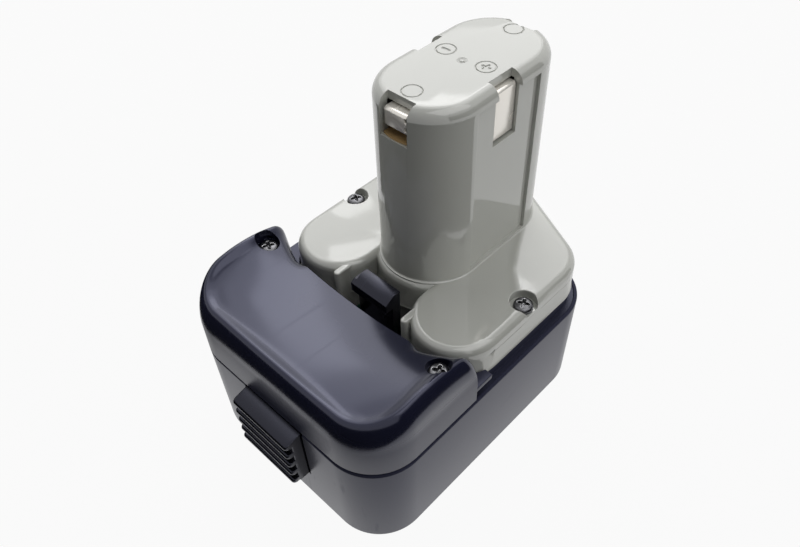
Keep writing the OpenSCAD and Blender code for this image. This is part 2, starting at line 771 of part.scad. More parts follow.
module riser(s) {
    // an L-shaped strip: flat to the waist between the cells, then upright to the contact
    half = plate_half / 2;
    reach = riser_x + link_t;
    mirror([s > 0 ? 1 : 0, 0, 0]) {
        translate([0, s > 0 ? -half : -stem_y, stem_cell_top]) cube([reach, stem_y + half, link_t]);
        translate([riser_x, -half, stem_cell_top])
            cube([link_t, 2 * half, contact_top - sheet_t - stem_cell_top]);
    }
}

module bottom_pad() {
    color([0.3, 0.3, 0.32]) translate([0, 0, floor_t]) difference() {
        linear_extrude(pad_t) polygon(case_ring(case_inset(floor_t) + case_wall + 2 * slip));
        both_sides() {
            for (y = [cover_screw_y, stem_screw_y]) translate([screw_x, y, -over])
                cylinder(r = boss_r + slip, h = pad_t + 2 * over);
            for (y = [cover_screw_y, stem_screw_y]) translate([screw_x, y - web_t / 2 - slip, -over])
                cube([case_x - screw_x, web_t + 2 * slip, pad_t + 2 * over]);
            for (y = side_rows) translate([column_x + sleeve_r, y - web_t / 2 - slip, -over])
                cube([case_x - column_x - sleeve_r, web_t + 2 * slip, pad_t + 2 * over]);
        }
        for (y = [spring_web_y, rear_web_y]) translate([-web_w / 2 - slip, y - slip, -over])
            cube([web_w + 2 * slip, web_t + 2 * slip, pad_t + 2 * over]);
    }
}

strip_half = 7.5;
module column_sheet(thick) {
    difference() {
        translate([column_x - strip_half, middle_cell_y - strip_half, 0])
            cube([2 * strip_half, rear_cell_y - middle_cell_y + 2 * strip_half, thick]);
        translate([screw_x, stem_screw_y, -over]) cylinder(r = notch_r + pad_rim + slip, h = thick + 2 * over);
    }
}

module top_card() {
    color([0.75, 0.66, 0.5]) translate([0, 0, card_z]) column_sheet(card_t);
}

module top_foam() {
    color([0.3, 0.3, 0.32]) translate([0, 0, foam_z]) column_sheet(foam_t);
}

module front_foam() {
    color([0.3, 0.3, 0.32]) translate([column_x - strip_half, front_cell_y - strip_half, card_z])
        cube([2 * strip_half, 2 * strip_half, card_t + foam_t]);
}

spacer_hole_r = 3;
module stem_spacer() {
    // plastic block that carries the stem's cells above the base's
    color([0.85, 0.85, 0.82]) difference() {
        hull() for (s = [-1, 1]) translate([0, s * stem_y, card_z])
            cylinder(r = stem_inner_r - slip, h = spacer_t + card_t, $fn = 40);
        for (s = [-1, 1]) translate([0, s * stem_y, card_z - over])
            cylinder(r = spacer_hole_r, h = spacer_t + card_t + 2 * over);
    }
}

module washer(s) {
    color([0.68, 0.55, 0.36]) translate([0, s * stem_y, stem_cell_top + link_t])
        cylinder(r = stem_y - fit, h = washer_t);
}

// Terminals
holder_side = 4.1;   // from the stem's inner wall
holder_end = 4.6;
holder_slot = 2;
holder_x = stem_inner_r - holder_side;
holder_y = stem_y + stem_inner_r - holder_end;
plate_in = 0.35;
side_plate_x = stem_inner_r + plate_in;
plate_sill = 0.8;
end_set_in = 1.6;
end_sill = 1.9;
end_foot = 2.2;
plate_half = window_w / 2 - slide_gap;
side_plate_low = stem_top - side_window_h + plate_sill;
end_plate_y = stem_y + stem_r - end_set_in;
end_plate_low = stem_top - end_window_h + end_sill;
end_plate_half = 3.6;
tail = 4;

module terminal_holder() {
    color([0.12, 0.12, 0.13]) difference() {
        translate([-holder_x, -holder_y, holder_z]) cube([2 * holder_x, 2 * holder_y, holder_h]);
        both_sides() translate([holder_x - holder_slot, -plate_half / 2, holder_z - over])
            cube([holder_slot + over, plate_half, holder_h / 2 + over]);
    }
}

module bent_sheet(reach, low, half) {
    // a plate that hangs at x = reach from a flange that runs back to the holder
    translate([tail, -half, contact_top - sheet_t]) cube([reach + sheet_t - tail, 2 * half, sheet_t]);
    translate([reach, -half, low]) cube([sheet_t, 2 * half, contact_top - low]);
}

module side_contact() {
    color([0.85, 0.85, 0.83]) bent_sheet(side_plate_x, side_plate_low, plate_half);
}

module end_contact() {
    color([0.85, 0.85, 0.83]) translate([0, -stem_y, 0]) rotate([0, 0, -90])
        union() {
            bent_sheet(end_plate_y - stem_y - sheet_t, end_plate_low, end_plate_half);
            translate([end_plate_y - stem_y - end_foot, -end_plate_half, end_plate_low])
                cube([end_foot, 2 * end_plate_half, sheet_t]);
        }
}

module contact_plus() { side_contact(); }
module contact_minus() { mirror([1, 0, 0]) side_contact(); }
module contact_s() { end_contact(); }
module contact_t() { mirror([0, 1, 0]) end_contact(); }

// Thermal parts, in the gap between the stem's two cells
thermostat_t = 2.5;
thermostat_w = 7.2;
thermostat_h = 14;
thermostat_rise = 16;
thermostat_z = stem_cell_z + thermostat_rise;
pocket_x = stem_inner_r - slip - thermostat_t;
bead_r = 1.3;
bead_l = 7;

module thermostat() {
    color([0.1, 0.1, 0.1]) translate([pocket_x, -thermostat_w / 2, thermostat_z])
        cube([thermostat_t, thermostat_w, thermostat_h]);
}

module thermistor() {
    color([0.55, 0.35, 0.2]) translate([-lead_x, 0, thermostat_z]) cylinder(r = bead_r, h = bead_l);
}

module lead(x, y, low, high) {
    translate([x, y, low]) cylinder(r = lead_r, h = high - low);
}

module lead_s() {
    color([0.9, 0.9, 0.9]) lead(lead_x, 0, thermostat_z + thermostat_h, contact_top - sheet_t - fit);
}

module lead_t() {
    color([0.2, 0.35, 0.7]) lead(-lead_x, 0, thermostat_z + bead_l, contact_top - sheet_t - fit);
}

lower_case();
front_cover();
stem_cover();
latch();
latch_spring();
cover_screws();
stem_screws();
for (i = [0:9]) cell(i);
for (i = [0:9]) sleeve(i);
bottom_links();
top_links();
stem_links();
bottom_pad();
mirror([1, 0, 0]) top_card();  // top_card_left
top_card();  // top_card_right
mirror([1, 0, 0]) top_foam();  // top_foam_left
top_foam();  // top_foam_right
mirror([1, 0, 0]) front_foam();  // front_foam_left
front_foam();  // front_foam_right
stem_spacer();
washer(-1);  // washer_front
washer(1);  // washer_rear
terminal_holder();
contact_plus();
contact_minus();
contact_s();
contact_t();
thermostat();
thermistor();
lead_s();
lead_t();
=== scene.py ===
# %% [markdown]
# # A stem battery pack for a cordless tool
# The pack is a dark moulded base with a grey stem on top. Its solid parts already exist as a CAD frame.
# This lesson loads that frame, dresses it with smoother mouldings, and gives every piece a finish.
# Everything is in metres, and the part's own frame is used throughout: +Z up the stem, -Y to the latch.

# %% Load the frame
import bpy, json, math
import numpy as np
from mathutils import Matrix, Vector


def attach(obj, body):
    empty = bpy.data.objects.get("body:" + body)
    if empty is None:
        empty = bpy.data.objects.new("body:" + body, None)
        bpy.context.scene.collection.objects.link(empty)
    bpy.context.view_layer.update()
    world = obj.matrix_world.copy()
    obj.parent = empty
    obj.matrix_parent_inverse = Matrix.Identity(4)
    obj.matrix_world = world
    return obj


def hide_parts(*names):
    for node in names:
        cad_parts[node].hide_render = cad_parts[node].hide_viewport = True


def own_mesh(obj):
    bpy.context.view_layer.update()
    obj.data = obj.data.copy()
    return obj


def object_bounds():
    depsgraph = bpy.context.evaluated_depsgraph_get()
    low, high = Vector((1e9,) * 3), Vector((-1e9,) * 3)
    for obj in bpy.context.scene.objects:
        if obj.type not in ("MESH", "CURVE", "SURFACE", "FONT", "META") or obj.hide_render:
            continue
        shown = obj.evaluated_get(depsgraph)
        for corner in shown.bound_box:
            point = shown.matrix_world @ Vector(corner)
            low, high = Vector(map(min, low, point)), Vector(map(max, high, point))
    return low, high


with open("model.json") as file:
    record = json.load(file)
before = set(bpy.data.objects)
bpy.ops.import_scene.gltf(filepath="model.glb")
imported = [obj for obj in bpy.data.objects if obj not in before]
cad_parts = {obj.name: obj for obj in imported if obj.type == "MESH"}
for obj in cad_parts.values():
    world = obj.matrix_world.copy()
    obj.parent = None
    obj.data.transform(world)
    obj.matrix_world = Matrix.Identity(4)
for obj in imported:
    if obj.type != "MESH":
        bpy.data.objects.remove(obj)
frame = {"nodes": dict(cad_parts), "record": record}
cad_low, cad_high = [list(v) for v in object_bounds()]
MM = 0.001
print("nodes", len(frame["nodes"]), "box in mm", [round(1000 * (b - a), 1) for a, b in zip(cad_low, cad_high)])

# %% [markdown]
# ## Where the camera stands
# The picture is taken from the front right, looking well down. A camera is three unit vectors and a place.
# Writing the vectors as the columns of its matrix keeps the small tilt that a hand-held picture has,
# which a look-at helper would lose.

# %% Camera
RIGHT = Vector((0.72203, 0.69127, -0.02868))
DOWN = Vector((0.48487, -0.53514, -0.69176))
AHEAD = Vector((-0.49354, 0.48556, -0.72156))
EYE = Vector((107.384, -131.399, 205.626)) * MM
camera = bpy.data.objects.new("camera", bpy.data.cameras.new("camera"))
bpy.context.scene.collection.objects.link(camera)
turn = Matrix([[RIGHT[i], -DOWN[i], -AHEAD[i]] for i in range(3)]).to_4x4()
camera.matrix_world = Matrix.Translation(EYE) @ turn
camera.data.sensor_width = 36
camera.data.lens = 748.24 * 36 / 800
camera.data.clip_start, camera.data.clip_end = 0.01, 10
bpy.context.scene.camera = camera
print("lens", round(camera.data.lens, 2), "mm")

# %% [markdown]
# ## Floor and light
# A product picture has a white sweep and large soft lamps. Glossy plastic shows the lamps as shapes, so
# where they stand matters more than how strong they are. The floor and the world are nearly white to the
# camera and in reflections. For all other light the floor is a matt grey, which keeps the soft shadow.

# %% Floor
def link(name, mesh):
    """A new object for a mesh, at the origin, in the scene."""
    piece = bpy.data.objects.new(name, mesh)
    bpy.context.scene.collection.objects.link(piece)
    return piece


def add(tree, kind, operation=None):
    """A new shader node, with its operation where it has one."""
    node = tree.nodes.new("ShaderNode" + kind)
    if operation:
        node.operation = operation
    return node


def put(node, **values):
    """Sets a node's inputs by their names, with _ for a space, and hands the node back."""
    for label, value in values.items():
        node.inputs[label.replace("_", " ")].default_value = value
    return node


def wire(tree, source, target):
    """Joins an output socket to an input socket."""
    tree.links.new(source, target)


def shown_directly(tree):
    """A socket that is 1 for camera, glossy and transmission rays, and 0 for all others."""
    path = add(tree, "LightPath")
    last = path.outputs["Is Camera Ray"]
    for label in ("Is Glossy Ray", "Is Transmission Ray"):
        either = add(tree, "Math", "MAXIMUM")
        wire(tree, last, either.inputs[0])
        wire(tree, path.outputs[label], either.inputs[1])
        last = either.outputs[0]
    return last


floor_mesh = bpy.data.meshes.new("floor")
floor_mesh.from_pydata([(-3, -3, 0), (3, -3, 0), (3, 3, 0), (-3, 3, 0)], [], [(0, 1, 2, 3)])
floor = link("floor", floor_mesh)
floor.location.z = cad_low[2] - 0.0002
white = bpy.data.materials.new("white_sweep")
white.use_nodes = True
sweep = white.node_tree
matt = sweep.nodes["Principled BSDF"]
MATT_GREY, GLOW_SHARE = 0.34, 0.94
put(matt, Base_Color=(MATT_GREY, MATT_GREY, MATT_GREY, 1), Roughness=0.9, Specular_IOR_Level=0.1)
glow, share, shade_mix = add(sweep, "Emission"), add(sweep, "Math", "MULTIPLY"), add(sweep, "MixShader")
share.inputs[1].default_value = GLOW_SHARE
wire(sweep, shown_directly(sweep), share.inputs[0])
wire(sweep, share.outputs[0], shade_mix.inputs[0])
wire(sweep, matt.outputs[0], shade_mix.inputs[1])
wire(sweep, glow.outputs[0], shade_mix.inputs[2])
wire(sweep, shade_mix.outputs[0], sweep.nodes["Material Output"].inputs["Surface"])
floor.data.materials.append(white)
print("floor at", round(floor.location.z * 1000, 2), "mm")

# %% [markdown]
# The key lamp stands behind and to the left, exactly where the flat tops mirror it towards the camera. That
# gives a dark gloss its sheen. It is three panes of different size behind each other, so its mirror image
# fades out softly. Two black cards, which photographers call flags, keep the rounded upper edges of the dark
# mouldings dark. Only reflections see the cards, and the lamps at the left and right only light matt colour.

# %% Lamps
def softbox(name, place, aim, size, radiance, tint=(1, 1, 1), mirrored=True):
    """A rectangular area lamp: its power is radiance times pi times its area, so its brightness is plain."""
    lamp = bpy.data.lights.new(name, "AREA")
    lamp.shape, lamp.size, lamp.size_y = "RECTANGLE", size[0], size[1]
    lamp.energy, lamp.color = radiance * math.pi * size[0] * size[1], tint
    holder = bpy.data.objects.new(name, lamp)
    bpy.context.scene.collection.objects.link(holder)
    holder.location = place
    holder.rotation_euler = (Vector(aim) - Vector(place)).to_track_quat("-Z", "Y").to_euler()
    holder.visible_glossy = mirrored
    return holder


MIDDLE = (0, -0.02, 0.04)
for pane, (place_at, size, radiance) in enumerate([
        ((-0.40, 0.38, 0.72), 1.05, 1.0), ((-0.38, 0.39, 0.70), 0.66, 0.8), ((-0.355, 0.375, 0.66), 0.30, 1.9)]):
    softbox(f"lamp_key_{pane}", place_at, MIDDLE, (size, size), radiance)
softbox("lamp_over", (0.36, 0.02, 0.84), MIDDLE, (0.8, 0.6), 1.3)
softbox("lamp_right", (0.80, 0.35, 0.26), MIDDLE, (0.6, 0.5), 2.0, mirrored=False)
softbox("lamp_left", (-0.85, -0.25, 0.30), MIDDLE, (0.5, 0.4), 2.6, mirrored=False)


def flag(name, radius, first, last, low, high, steps=14):
    """A black card bent round the pack: an arc of that radius in metres, seen by reflections only."""
    t = np.radians(np.linspace(first, last, steps))
    side = np.stack([radius * np.cos(t), radius * np.sin(t) + MIDDLE[1]], 1)
    points = np.concatenate([np.column_stack([side, np.full(steps, z)]) for z in (low, high)])
    mesh = bpy.data.meshes.new(name)
    mesh.from_pydata(points.tolist(), [], [(i, i + 1, i + 1 + steps, i + steps) for i in range(steps - 1)])
    card = link(name, mesh)
    card.data.materials.append(felt)
    card.visible_camera = card.visible_diffuse = card.visible_shadow = card.visible_transmission = False
    return card


felt = bpy.data.materials.new("black_felt")
felt.use_nodes = True
put(felt.node_tree.nodes["Principled BSDF"], Base_Color=(0.01, 0.01, 0.01, 1), Roughness=1.0)
flag("flag_near", 0.105, 185, 392, 0.001, 0.060)
flag("flag_right", 0.9, -20, 60, 0.05, 0.55)

world = bpy.data.worlds.new("studio")
bpy.context.scene.world = world
world.use_nodes = True
sky = world.node_tree
background = put(sky.nodes["Background"], Color=(0.97, 0.98, 1.0, 1), Strength=0.09)
direct = put(add(sky, "Background"), Color=(GLOW_SHARE, GLOW_SHARE, GLOW_SHARE, 1))
sky_mix = add(sky, "MixShader")
wire(sky, shown_directly(sky), sky_mix.inputs[0])
wire(sky, background.outputs[0], sky_mix.inputs[1])
wire(sky, direct.outputs[0], sky_mix.inputs[2])
wire(sky, sky_mix.outputs[0], sky.nodes["World Output"].inputs["Surface"])
bpy.context.scene.view_settings.view_transform = "Standard"
print("lamps", len(bpy.data.lights))

# %% [markdown]
# ## Sizes shared by the mouldings
# The smooth mouldings repeat the sizes of the CAD solids, in millimetres, so that they fit the same space.

# %% Sizes
WALL_X, RIM = 39.35, 34.8                 # half width of the case, and its rim
FRONT_Y, FRONT_R = -76.45, 15.4
FRONT_CX, FRONT_CY = WALL_X - FRONT_R, FRONT_Y + FRONT_R
COLUMN_X, REAR_Y, MID_Y = 23.4, 5.0, -27.0
SHOULDER_Z, SHOULDER_R = 50.0, 13.35
STEM_Y, STEM_R, STEM_TOP, STEM_WALL = 11.6, 15.25, 106.8, 2.8
REAR_R, LEDGE_R, CASE_R, CASE_REAR_R = 18.0, 16.9, 15.95, 20.6
COLLAR_Y = -36.0
SCREW_X, COVER_SCREW_Y, STEM_SCREW_Y = 33.6, -46.6, -11.2
COVER_SEAT, STEM_SEAT = 51.4, 47.2
print("case", 2 * WALL_X, "mm wide, stem", STEM_TOP, "mm high")

# %% Outlines as rings of arcs
def arc(cx, cy, r, first, last, n):
    """n + 1 points on a circle round (cx, cy): centre + r (cos t, sin t), t from first to last degrees."""
    t = np.radians(np.linspace(first, last, n + 1))
    return np.stack([cx + r * np.cos(t), cy + r * np.sin(t)], 1)


def lean(c1, r1, c2, r2):
    """Angle, in degrees, of the point where the common tangent leaves circle 1 towards circle 2."""
    dx, dy = c1[0] - c2[0], c1[1] - c2[1]
    return math.degrees(math.atan2(dy, dx) + math.acos((r2 - r1) / math.hypot(dx, dy)))


def case_ring(inset, n=24):
    """The case's outline, moved in by inset: the right half from front to rear, the rear round, the left half."""
    a = lean((COLUMN_X, REAR_Y), CASE_R, (0, STEM_Y), CASE_REAR_R)
    right = np.concatenate([
        arc(FRONT_CX, FRONT_CY, FRONT_R - inset, -90, 0, n),
        [(WALL_X - inset, COLLAR_Y - 0.5), (WALL_X - inset, COLLAR_Y)],
        arc(COLUMN_X, REAR_Y, CASE_R - inset, 0, a, n)])
    return np.concatenate([right, arc(0, STEM_Y, CASE_REAR_R - inset, a, 180 - a, n), right[::-1] * (-1, 1)])


def shoulder_ring(inset, n=24):
    """The shoulders' outline: rear corners, rear round, two front lobes, and the ledge between them."""
    a = lean((COLUMN_X, REAR_Y), SHOULDER_R, (0, STEM_Y), REAR_R)
    b = math.degrees(math.acos((COLUMN_X - SHOULDER_R + inset) / (LEDGE_R - inset)))
    return np.concatenate([
        arc(COLUMN_X, REAR_Y, SHOULDER_R - inset, 0, a, n),
        arc(0, STEM_Y, REAR_R - inset, a, 180 - a, n),
        arc(-COLUMN_X, REAR_Y, SHOULDER_R - inset, 180 - a, 180, n),
        arc(-COLUMN_X, MID_Y, SHOULDER_R - inset, 180, 360, 2 * n),
        arc(0, -STEM_Y, LEDGE_R - inset, 180 + b, 360 - b, n),
        arc(COLUMN_X, MID_Y, SHOULDER_R - inset, 180, 360, 2 * n)])


def stem_ring(inset, n=48):
    """The stem's outline: a half circle at the front and one at the rear, joined by flat sides."""
    return np.concatenate([
        arc(0, -STEM_Y, STEM_R - inset, 180, 360, n), arc(0, STEM_Y, STEM_R - inset, 0, 180, n)])


print("points in the rings", len(case_ring(0)), len(shoulder_ring(0)), len(stem_ring(0)))

# %% Rings into a closed skin
def skin(name, rings, caps=None, closed=False):
    """A skin through rings, an array (rings, points, 3) in mm. Caps close its ends; closed joins last to first."""
    rings = np.asarray(rings, float)
    m, n = rings.shape[:2]
    i, k = np.meshgrid(np.arange(n), np.arange(m if closed else m - 1))
    j, up = (i + 1) % n, (k + 1) % m
    quads = np.stack([k * n + i, k * n + j, up * n + j, up * n + i], -1).reshape(-1, 4)
    faces = quads.tolist()
    if not closed:
        caps = caps or [list(range(n))]
        faces += [list(reversed(c)) for c in caps] + [[(m - 1) * n + v for v in c] for c in caps]
    mesh = bpy.data.meshes.new(name)
    mesh.from_pydata((rings.reshape(-1, 3) * MM).tolist(), [], faces)
    mesh.validate()
    return link(name, mesh)


def raised(outline, z):
    """A flat outline lifted to height z, which is one number or one for each point."""
    return np.column_stack([outline, np.broadcast_to(z, len(outline))])


def loft(name, rings, caps=None):
    """A skin through flat outlines, each with its height."""
    return skin(name, [raised(outline, z) for outline, z in rings], caps)


def rounding(radius, steps):
    """Quarter circle from a wall to a top: pairs (how far in, how far below the top)."""
    t = np.radians(np.linspace(0, 90, steps + 1))
    return list(zip(radius * (1 - np.cos(t)), radius * (1 - np.sin(t))))


print("rounding of 2.5 mm:", [(round(float(a), 2), round(float(b), 2)) for a, b in rounding(2.5, 3)])

# %% [markdown]
# ## Simple solids and cuts
# Windows, recesses and engraved marks could be built into each grid. A boolean with a small cutter keeps
# every cut exact and easy to move, and the cutter is deleted after use. An outline pushed along an axis and
# an outline turned about an upright line are enough for all the cutters and the small parts.

# %% Prisms and turned solids
def prism(name, outline, axis, low, high):
    """An outline pushed along an axis: (y, z) pairs for x, (x, z) pairs for y, (x, y) pairs for z."""
    flat = np.asarray(outline, float)
    after = np.roll(flat, -1, 0)
    area = np.sum(flat[:, 0] * after[:, 1] - after[:, 0] * flat[:, 1])
    if (area < 0) != (axis == "y"):
        flat = flat[::-1]
    at = "xyz".index(axis)
    return skin(name, [np.insert(flat, at, level, axis=1) for level in (low, high)])


def block(name, low, high):
    """A box between two corners, in mm."""
    x0, x1 = sorted((low[0], high[0]))
    y0, y1 = sorted((low[1], high[1]))
    return prism(name, [(x0, y0), (x1, y0), (x1, y1), (x0, y1)], "z", low[2], high[2])


def post(name, x, y, profile, n=64):
    """A solid turned about the upright line at (x, y): profile is a list of (radius, height)."""
    return loft(name, [(arc(x, y, r, 0, 360 - 360 / n, n - 1), z) for r, z in profile])


def hoop(name, x, y, profile, n=72):
    """A closed ring turned about the upright line at (x, y): profile is a closed loop of (radius, height)."""
    return skin(name, [raised(arc(x, y, r, 0, 360 - 360 / n, n - 1), z) for r, z in profile], closed=True)


def capsule(x, y, along, half_length, radius, n=10):
    """Outline of a bar with round ends, along x (0 degrees) or any other direction."""
    c, s = math.cos(math.radians(along)), math.sin(math.radians(along))
    ends = [arc(half_length, 0, radius, -90, 90, n), arc(-half_length, 0, radius, 90, 270, n)]
    return np.concatenate(ends) @ np.array([(c, s), (-s, c)]) + (x, y)


print("a capsule has", len(capsule(0, 0, 0, 1, 1)), "points")

# %% Cutting, joining, softening
def apply_last(piece):
    """Applies the piece's newest modifier."""
    with bpy.context.temp_override(object=piece, active_object=piece):
        bpy.ops.object.modifier_apply(modifier=piece.modifiers[-1].name)
    return piece


def boolean(piece, cutters, operation="DIFFERENCE"):
    """Cuts or joins piece with each cutter, and applies the result."""
    bpy.context.view_layer.objects.active = piece
    for cutter in cutters:
        mod = piece.modifiers.new("cut", "BOOLEAN")
        mod.operation, mod.solver, mod.object = operation, "EXACT", cutter
        apply_last(piece)
        bpy.data.objects.remove(cutter)
    return piece


def soften(piece, width, segments=3, degrees=35):
    """Rounds the edges sharper than the angle by that width, in mm, and applies it."""
    bevel = piece.modifiers.new("edge_rounding", "BEVEL")
    bevel.width, bevel.segments, bevel.limit_method = width * MM, segments, "ANGLE"
    bevel.angle_limit = math.radians(degrees)
    return apply_last(piece)


def smooth(piece, degrees=30):
    """Shades faces smooth, except across edges sharper than the angle."""
    piece.data.shade_smooth()
    piece.data.set_sharp_from_angle(angle=math.radians(degrees))
    return piece


def place(piece, name, node, body, slot):
    """Names a finished piece, hides the CAD node it replaces and hangs it on its body. The slot it is given is not
    used.
    """
    piece.name = piece.data.name = name
    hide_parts(*([node] if isinstance(node, str) else node))
    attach(piece, body)
    print(name, len(piece.data.polygons), "faces")
    return piece


print("cutting helpers ready")

# %% [markdown]
# ## Stem cover
# One grey moulding: the stem that enters the tool's handle, and the shoulders over the cells. The shoulders'
# foot ends in a fine bead, below which a skirt hides in the lower case. One loft runs down the inside, out
# and up the outside, so it is a closed wall from the start. The stem and its hollow are two more.

# %% Shoulders, stem and hollow
def ease(t):
    """Smooth step: 0 below 0, 1 above 1, and 3 t^2 - 2 t^3 between."""
    t = np.clip(t, 0, 1)
    return t * t * (3 - 2 * t)


def shoulder_caps(n=24):
    """Index lists of the three convex faces that together fill the shoulders' ring."""
    q, w = n + 1, 2 * n + 1
    last = 4 * q + w
    right = list(range(last, last + w)) + list(range(q)) + [last - 1]
    middle = list(range(q - 1, 2 * q + 1)) + list(range(3 * q + w, 4 * q + w))
    left = list(range(2 * q, 3 * q + w + 1))
    return [right, middle, left]


def parting_ring(depth):
    """The shoulders' outline with its two long side walls drawn in by depth, as a parting line leaves them."""
    outer, inner = shoulder_ring(0), shoulder_ring(depth)
    side = ease((np.abs(outer[:, 0]) - 34.5) / 2) * ease((outer[:, 1] + 33) / 8)
    return outer + (inner - outer) * side[:, None]


SKIRT_LOW, SKIN_FOOT, PARTING, ROOF = 31.0, 38.8, 45.5, 47.6       # heights, from the skirt's foot up
SHOULDER_WALL, SKIRT_IN, SHOULDER_ROUND = 2.0, 1.2, 2.5
FOOT_BEAD = [(0.15, 0.0), (0.25, 0.1), (0.22, 0.25), (0.08, 0.4), (0.0, 0.6)]    # (how far out, how far up)
shoulders = loft("shoulders", [
    (shoulder_ring(SHOULDER_WALL), ROOF), (shoulder_ring(SHOULDER_WALL), SKIRT_LOW),
    (shoulder_ring(SKIRT_IN), SKIRT_LOW), (shoulder_ring(SKIRT_IN), SKIN_FOOT)] + [
    (shoulder_ring(-out), SKIN_FOOT + up) for out, up in FOOT_BEAD] + [
    (shoulder_ring(0), PARTING - 0.15), (parting_ring(0.14), PARTING), (shoulder_ring(0), PARTING + 0.15)] + [
    (shoulder_ring(a), SHOULDER_Z - b) for a, b in rounding(SHOULDER_ROUND, 10)], shoulder_caps())
FLARE, STEM_ROUND, STEM_FOOT, HOLLOW_LOW, HOLLOW_TOP = 0.6, 3.6, 48.8, 46.6, 104.4
flare = [(stem_ring(-FLARE * (1 - math.sin(t))), SHOULDER_Z + FLARE * (1 - math.cos(t)))
         for t in np.radians(np.linspace(0, 90, 6))]
stem = loft("stem_outside", [(stem_ring(-FLARE), STEM_FOOT)] + flare + [
    (stem_ring(a), STEM_TOP - b) for a, b in rounding(STEM_ROUND, 14)])
hollow = loft("stem_hollow", [(stem_ring(STEM_WALL), HOLLOW_LOW), (stem_ring(STEM_WALL), HOLLOW_TOP)])
print("faces", len(shoulders.data.polygons), len(stem.data.polygons))

# %% Screw shelves and channel ribs
SHELF_R, SHELF_LOW, SHELF_TOP, SHELF_END = 5.4, 44.8, 48.0, 36.7


def screw_shelf(s):
    """The shelf under a screw notch: a disc cut off flat where the shoulder's wall ends."""
    disc = post("shelf", s * SCREW_X, STEM_SCREW_Y, [(SHELF_R, SHELF_LOW), (SHELF_R, SHELF_TOP)])
    keep = block("keep", (s * 20.0, STEM_SCREW_Y - 8, 40), (s * SHELF_END, STEM_SCREW_Y + 8, 49))
    return boolean(disc, [keep], "INTERSECT")


def channel_rib(s):
    """A thin upright rib beside the hook's channel: a round nose, walls that run into the lobe, a soft top."""
    rings = []
    for inset, z in [(0, SKIRT_LOW), (0, 49.1), (0.08, 49.3), (0.25, 49.45), (0.45, 49.5)]:
        nose = arc(s * 13.45, -38.0, 1.1 - inset, 180, 360, 14)
        rings.append((np.concatenate([nose, [(nose[-1][0], -32.6), (nose[0][0], -32.6)]]), z))
    return loft("rib", rings)


stem_cover = boolean(shoulders, [stem] + [f(s) for f in (screw_shelf, channel_rib) for s in (-1, 1)], "UNION")
print("joined", len(stem_cover.data.polygons), "faces")

# %% [markdown]
# The stem's sides have flat panels one millimetre deep, and windows for the terminals. Below each end window
# a shallow flat fades out downwards. On the top, four engraved rings mark the terminals. The two polarity
# signs are plain signs that every battery has. The other two rings are left empty.

# %% Windows, panels and screw notches
PANEL_X, PANEL_HALF, PANEL_LOW, PANEL_TOP = 14.25, 12.4, 50.6, 103.2
WINDOW_HALF, SIDE_SILL, END_SILL = 4.6, 88.9, 95.8
CLEAR_X, CLEAR_Z = 18.0, 108                       # past the stem's side and its top


def side_cutters(s):
    """Panel, window, screw notch and screw hole on one side. The notch's mouth flares by 0.2 mm."""
    return [
        block("panel", (s * PANEL_X, -PANEL_HALF, PANEL_LOW), (s * CLEAR_X, PANEL_HALF, PANEL_TOP)),
        block("window", (s * 11.5, -WINDOW_HALF, SIDE_SILL), (s * CLEAR_X, WINDOW_HALF, CLEAR_Z)),
        post("notch", s * SCREW_X, STEM_SCREW_Y, [(4.0, STEM_SEAT), (4.0, 49.8), (4.2, 50.02), (4.2, 52)]),
        post("screw_hole", s * SCREW_X, STEM_SCREW_Y, [(1.6, 44), (1.6, 48)], 24)]


def end_cutters(s):
    """Window and fading flat at one end of the stem."""
    wall = s * (STEM_Y + STEM_R)
    return [
        block("window", (-WINDOW_HALF, s * 22.7, END_SILL), (WINDOW_HALF, s * 28.0, CLEAR_Z)),
        prism("fade", [(wall - s * 0.7, END_SILL + 0.02), (wall, END_SILL - 10), (wall + s, END_SILL - 10),
                       (wall + s, END_SILL + 0.02)], "x", -WINDOW_HALF, WINDOW_HALF)]


CUT_BOTTOM, CUT_OPEN = STEM_TOP - 0.3, STEM_TOP + 0.1     # engraved marks: their floor, and just above the top


def engraved_ring(x, y):
    """A round groove with sloped walls, 5.2 mm across its middle line, cut into the stem's top."""
    return hoop("ring_groove", x, y, [(2.36, CUT_OPEN), (2.56, CUT_BOTTOM), (2.68, CUT_BOTTOM), (2.88, CUT_OPEN)])


def engraved_bar(x, y, along, half=1.05, radius=0.5):
    """A short bar with round ends and sloped walls, cut into the stem's top."""
    return loft("bar", [(capsule(x, y, along, half, radius * 0.55), CUT_BOTTOM),
                        (capsule(x, y, along, half, radius * 1.05), CUT_OPEN)])


cutters = [hollow] + [c for s in (-1, 1) for c in side_cutters(s) + end_cutters(s)]
MINUS, PLUS, FRONT_MARK, REAR_MARK = (-6.6, 0.6), (6.6, 0.6), (0.1, -19.3), (0.1, 20.0)
cutters += [engraved_ring(*spot) for spot in (MINUS, PLUS, FRONT_MARK, REAR_MARK)]
cutters += [engraved_bar(*MINUS, 0), engraved_bar(*PLUS, 0), engraved_bar(*PLUS, 90)]
cutters.append(hoop("gate", 0.1, -0.9, [(0.42, CUT_OPEN), (0.75, CUT_BOTTOM), (1.35, STEM_TOP - 0.05),
                                        (1.45, CUT_OPEN)], 32))
stem_cover = boolean(stem_cover, cutters)
smooth(stem_cover, 32)
place(stem_cover, "stem_moulding", "stem_cover", "body", "stem")

# %% [markdown]
# ## Lower case
# A deep tub with a small draft and a rounded foot. Its rim has a rounded outer lip and a ledge, and behind
# the ledge stands a low collar that the shoulders' skirt is slid over. The collar only runs along the sides
# and the rear, so its rings drop to the ledge in front, and the one loft stays closed.

# %% Case
FLOOR, LIP, LEDGE, COLLAR_TOP = 2.2, 1.2, 34.3, 38.7     # floor, lip's width, ledge and collar heights
FOOT_ROUND, LIP_ROUND, BOSS_R = 1.6, 0.8, 2.6


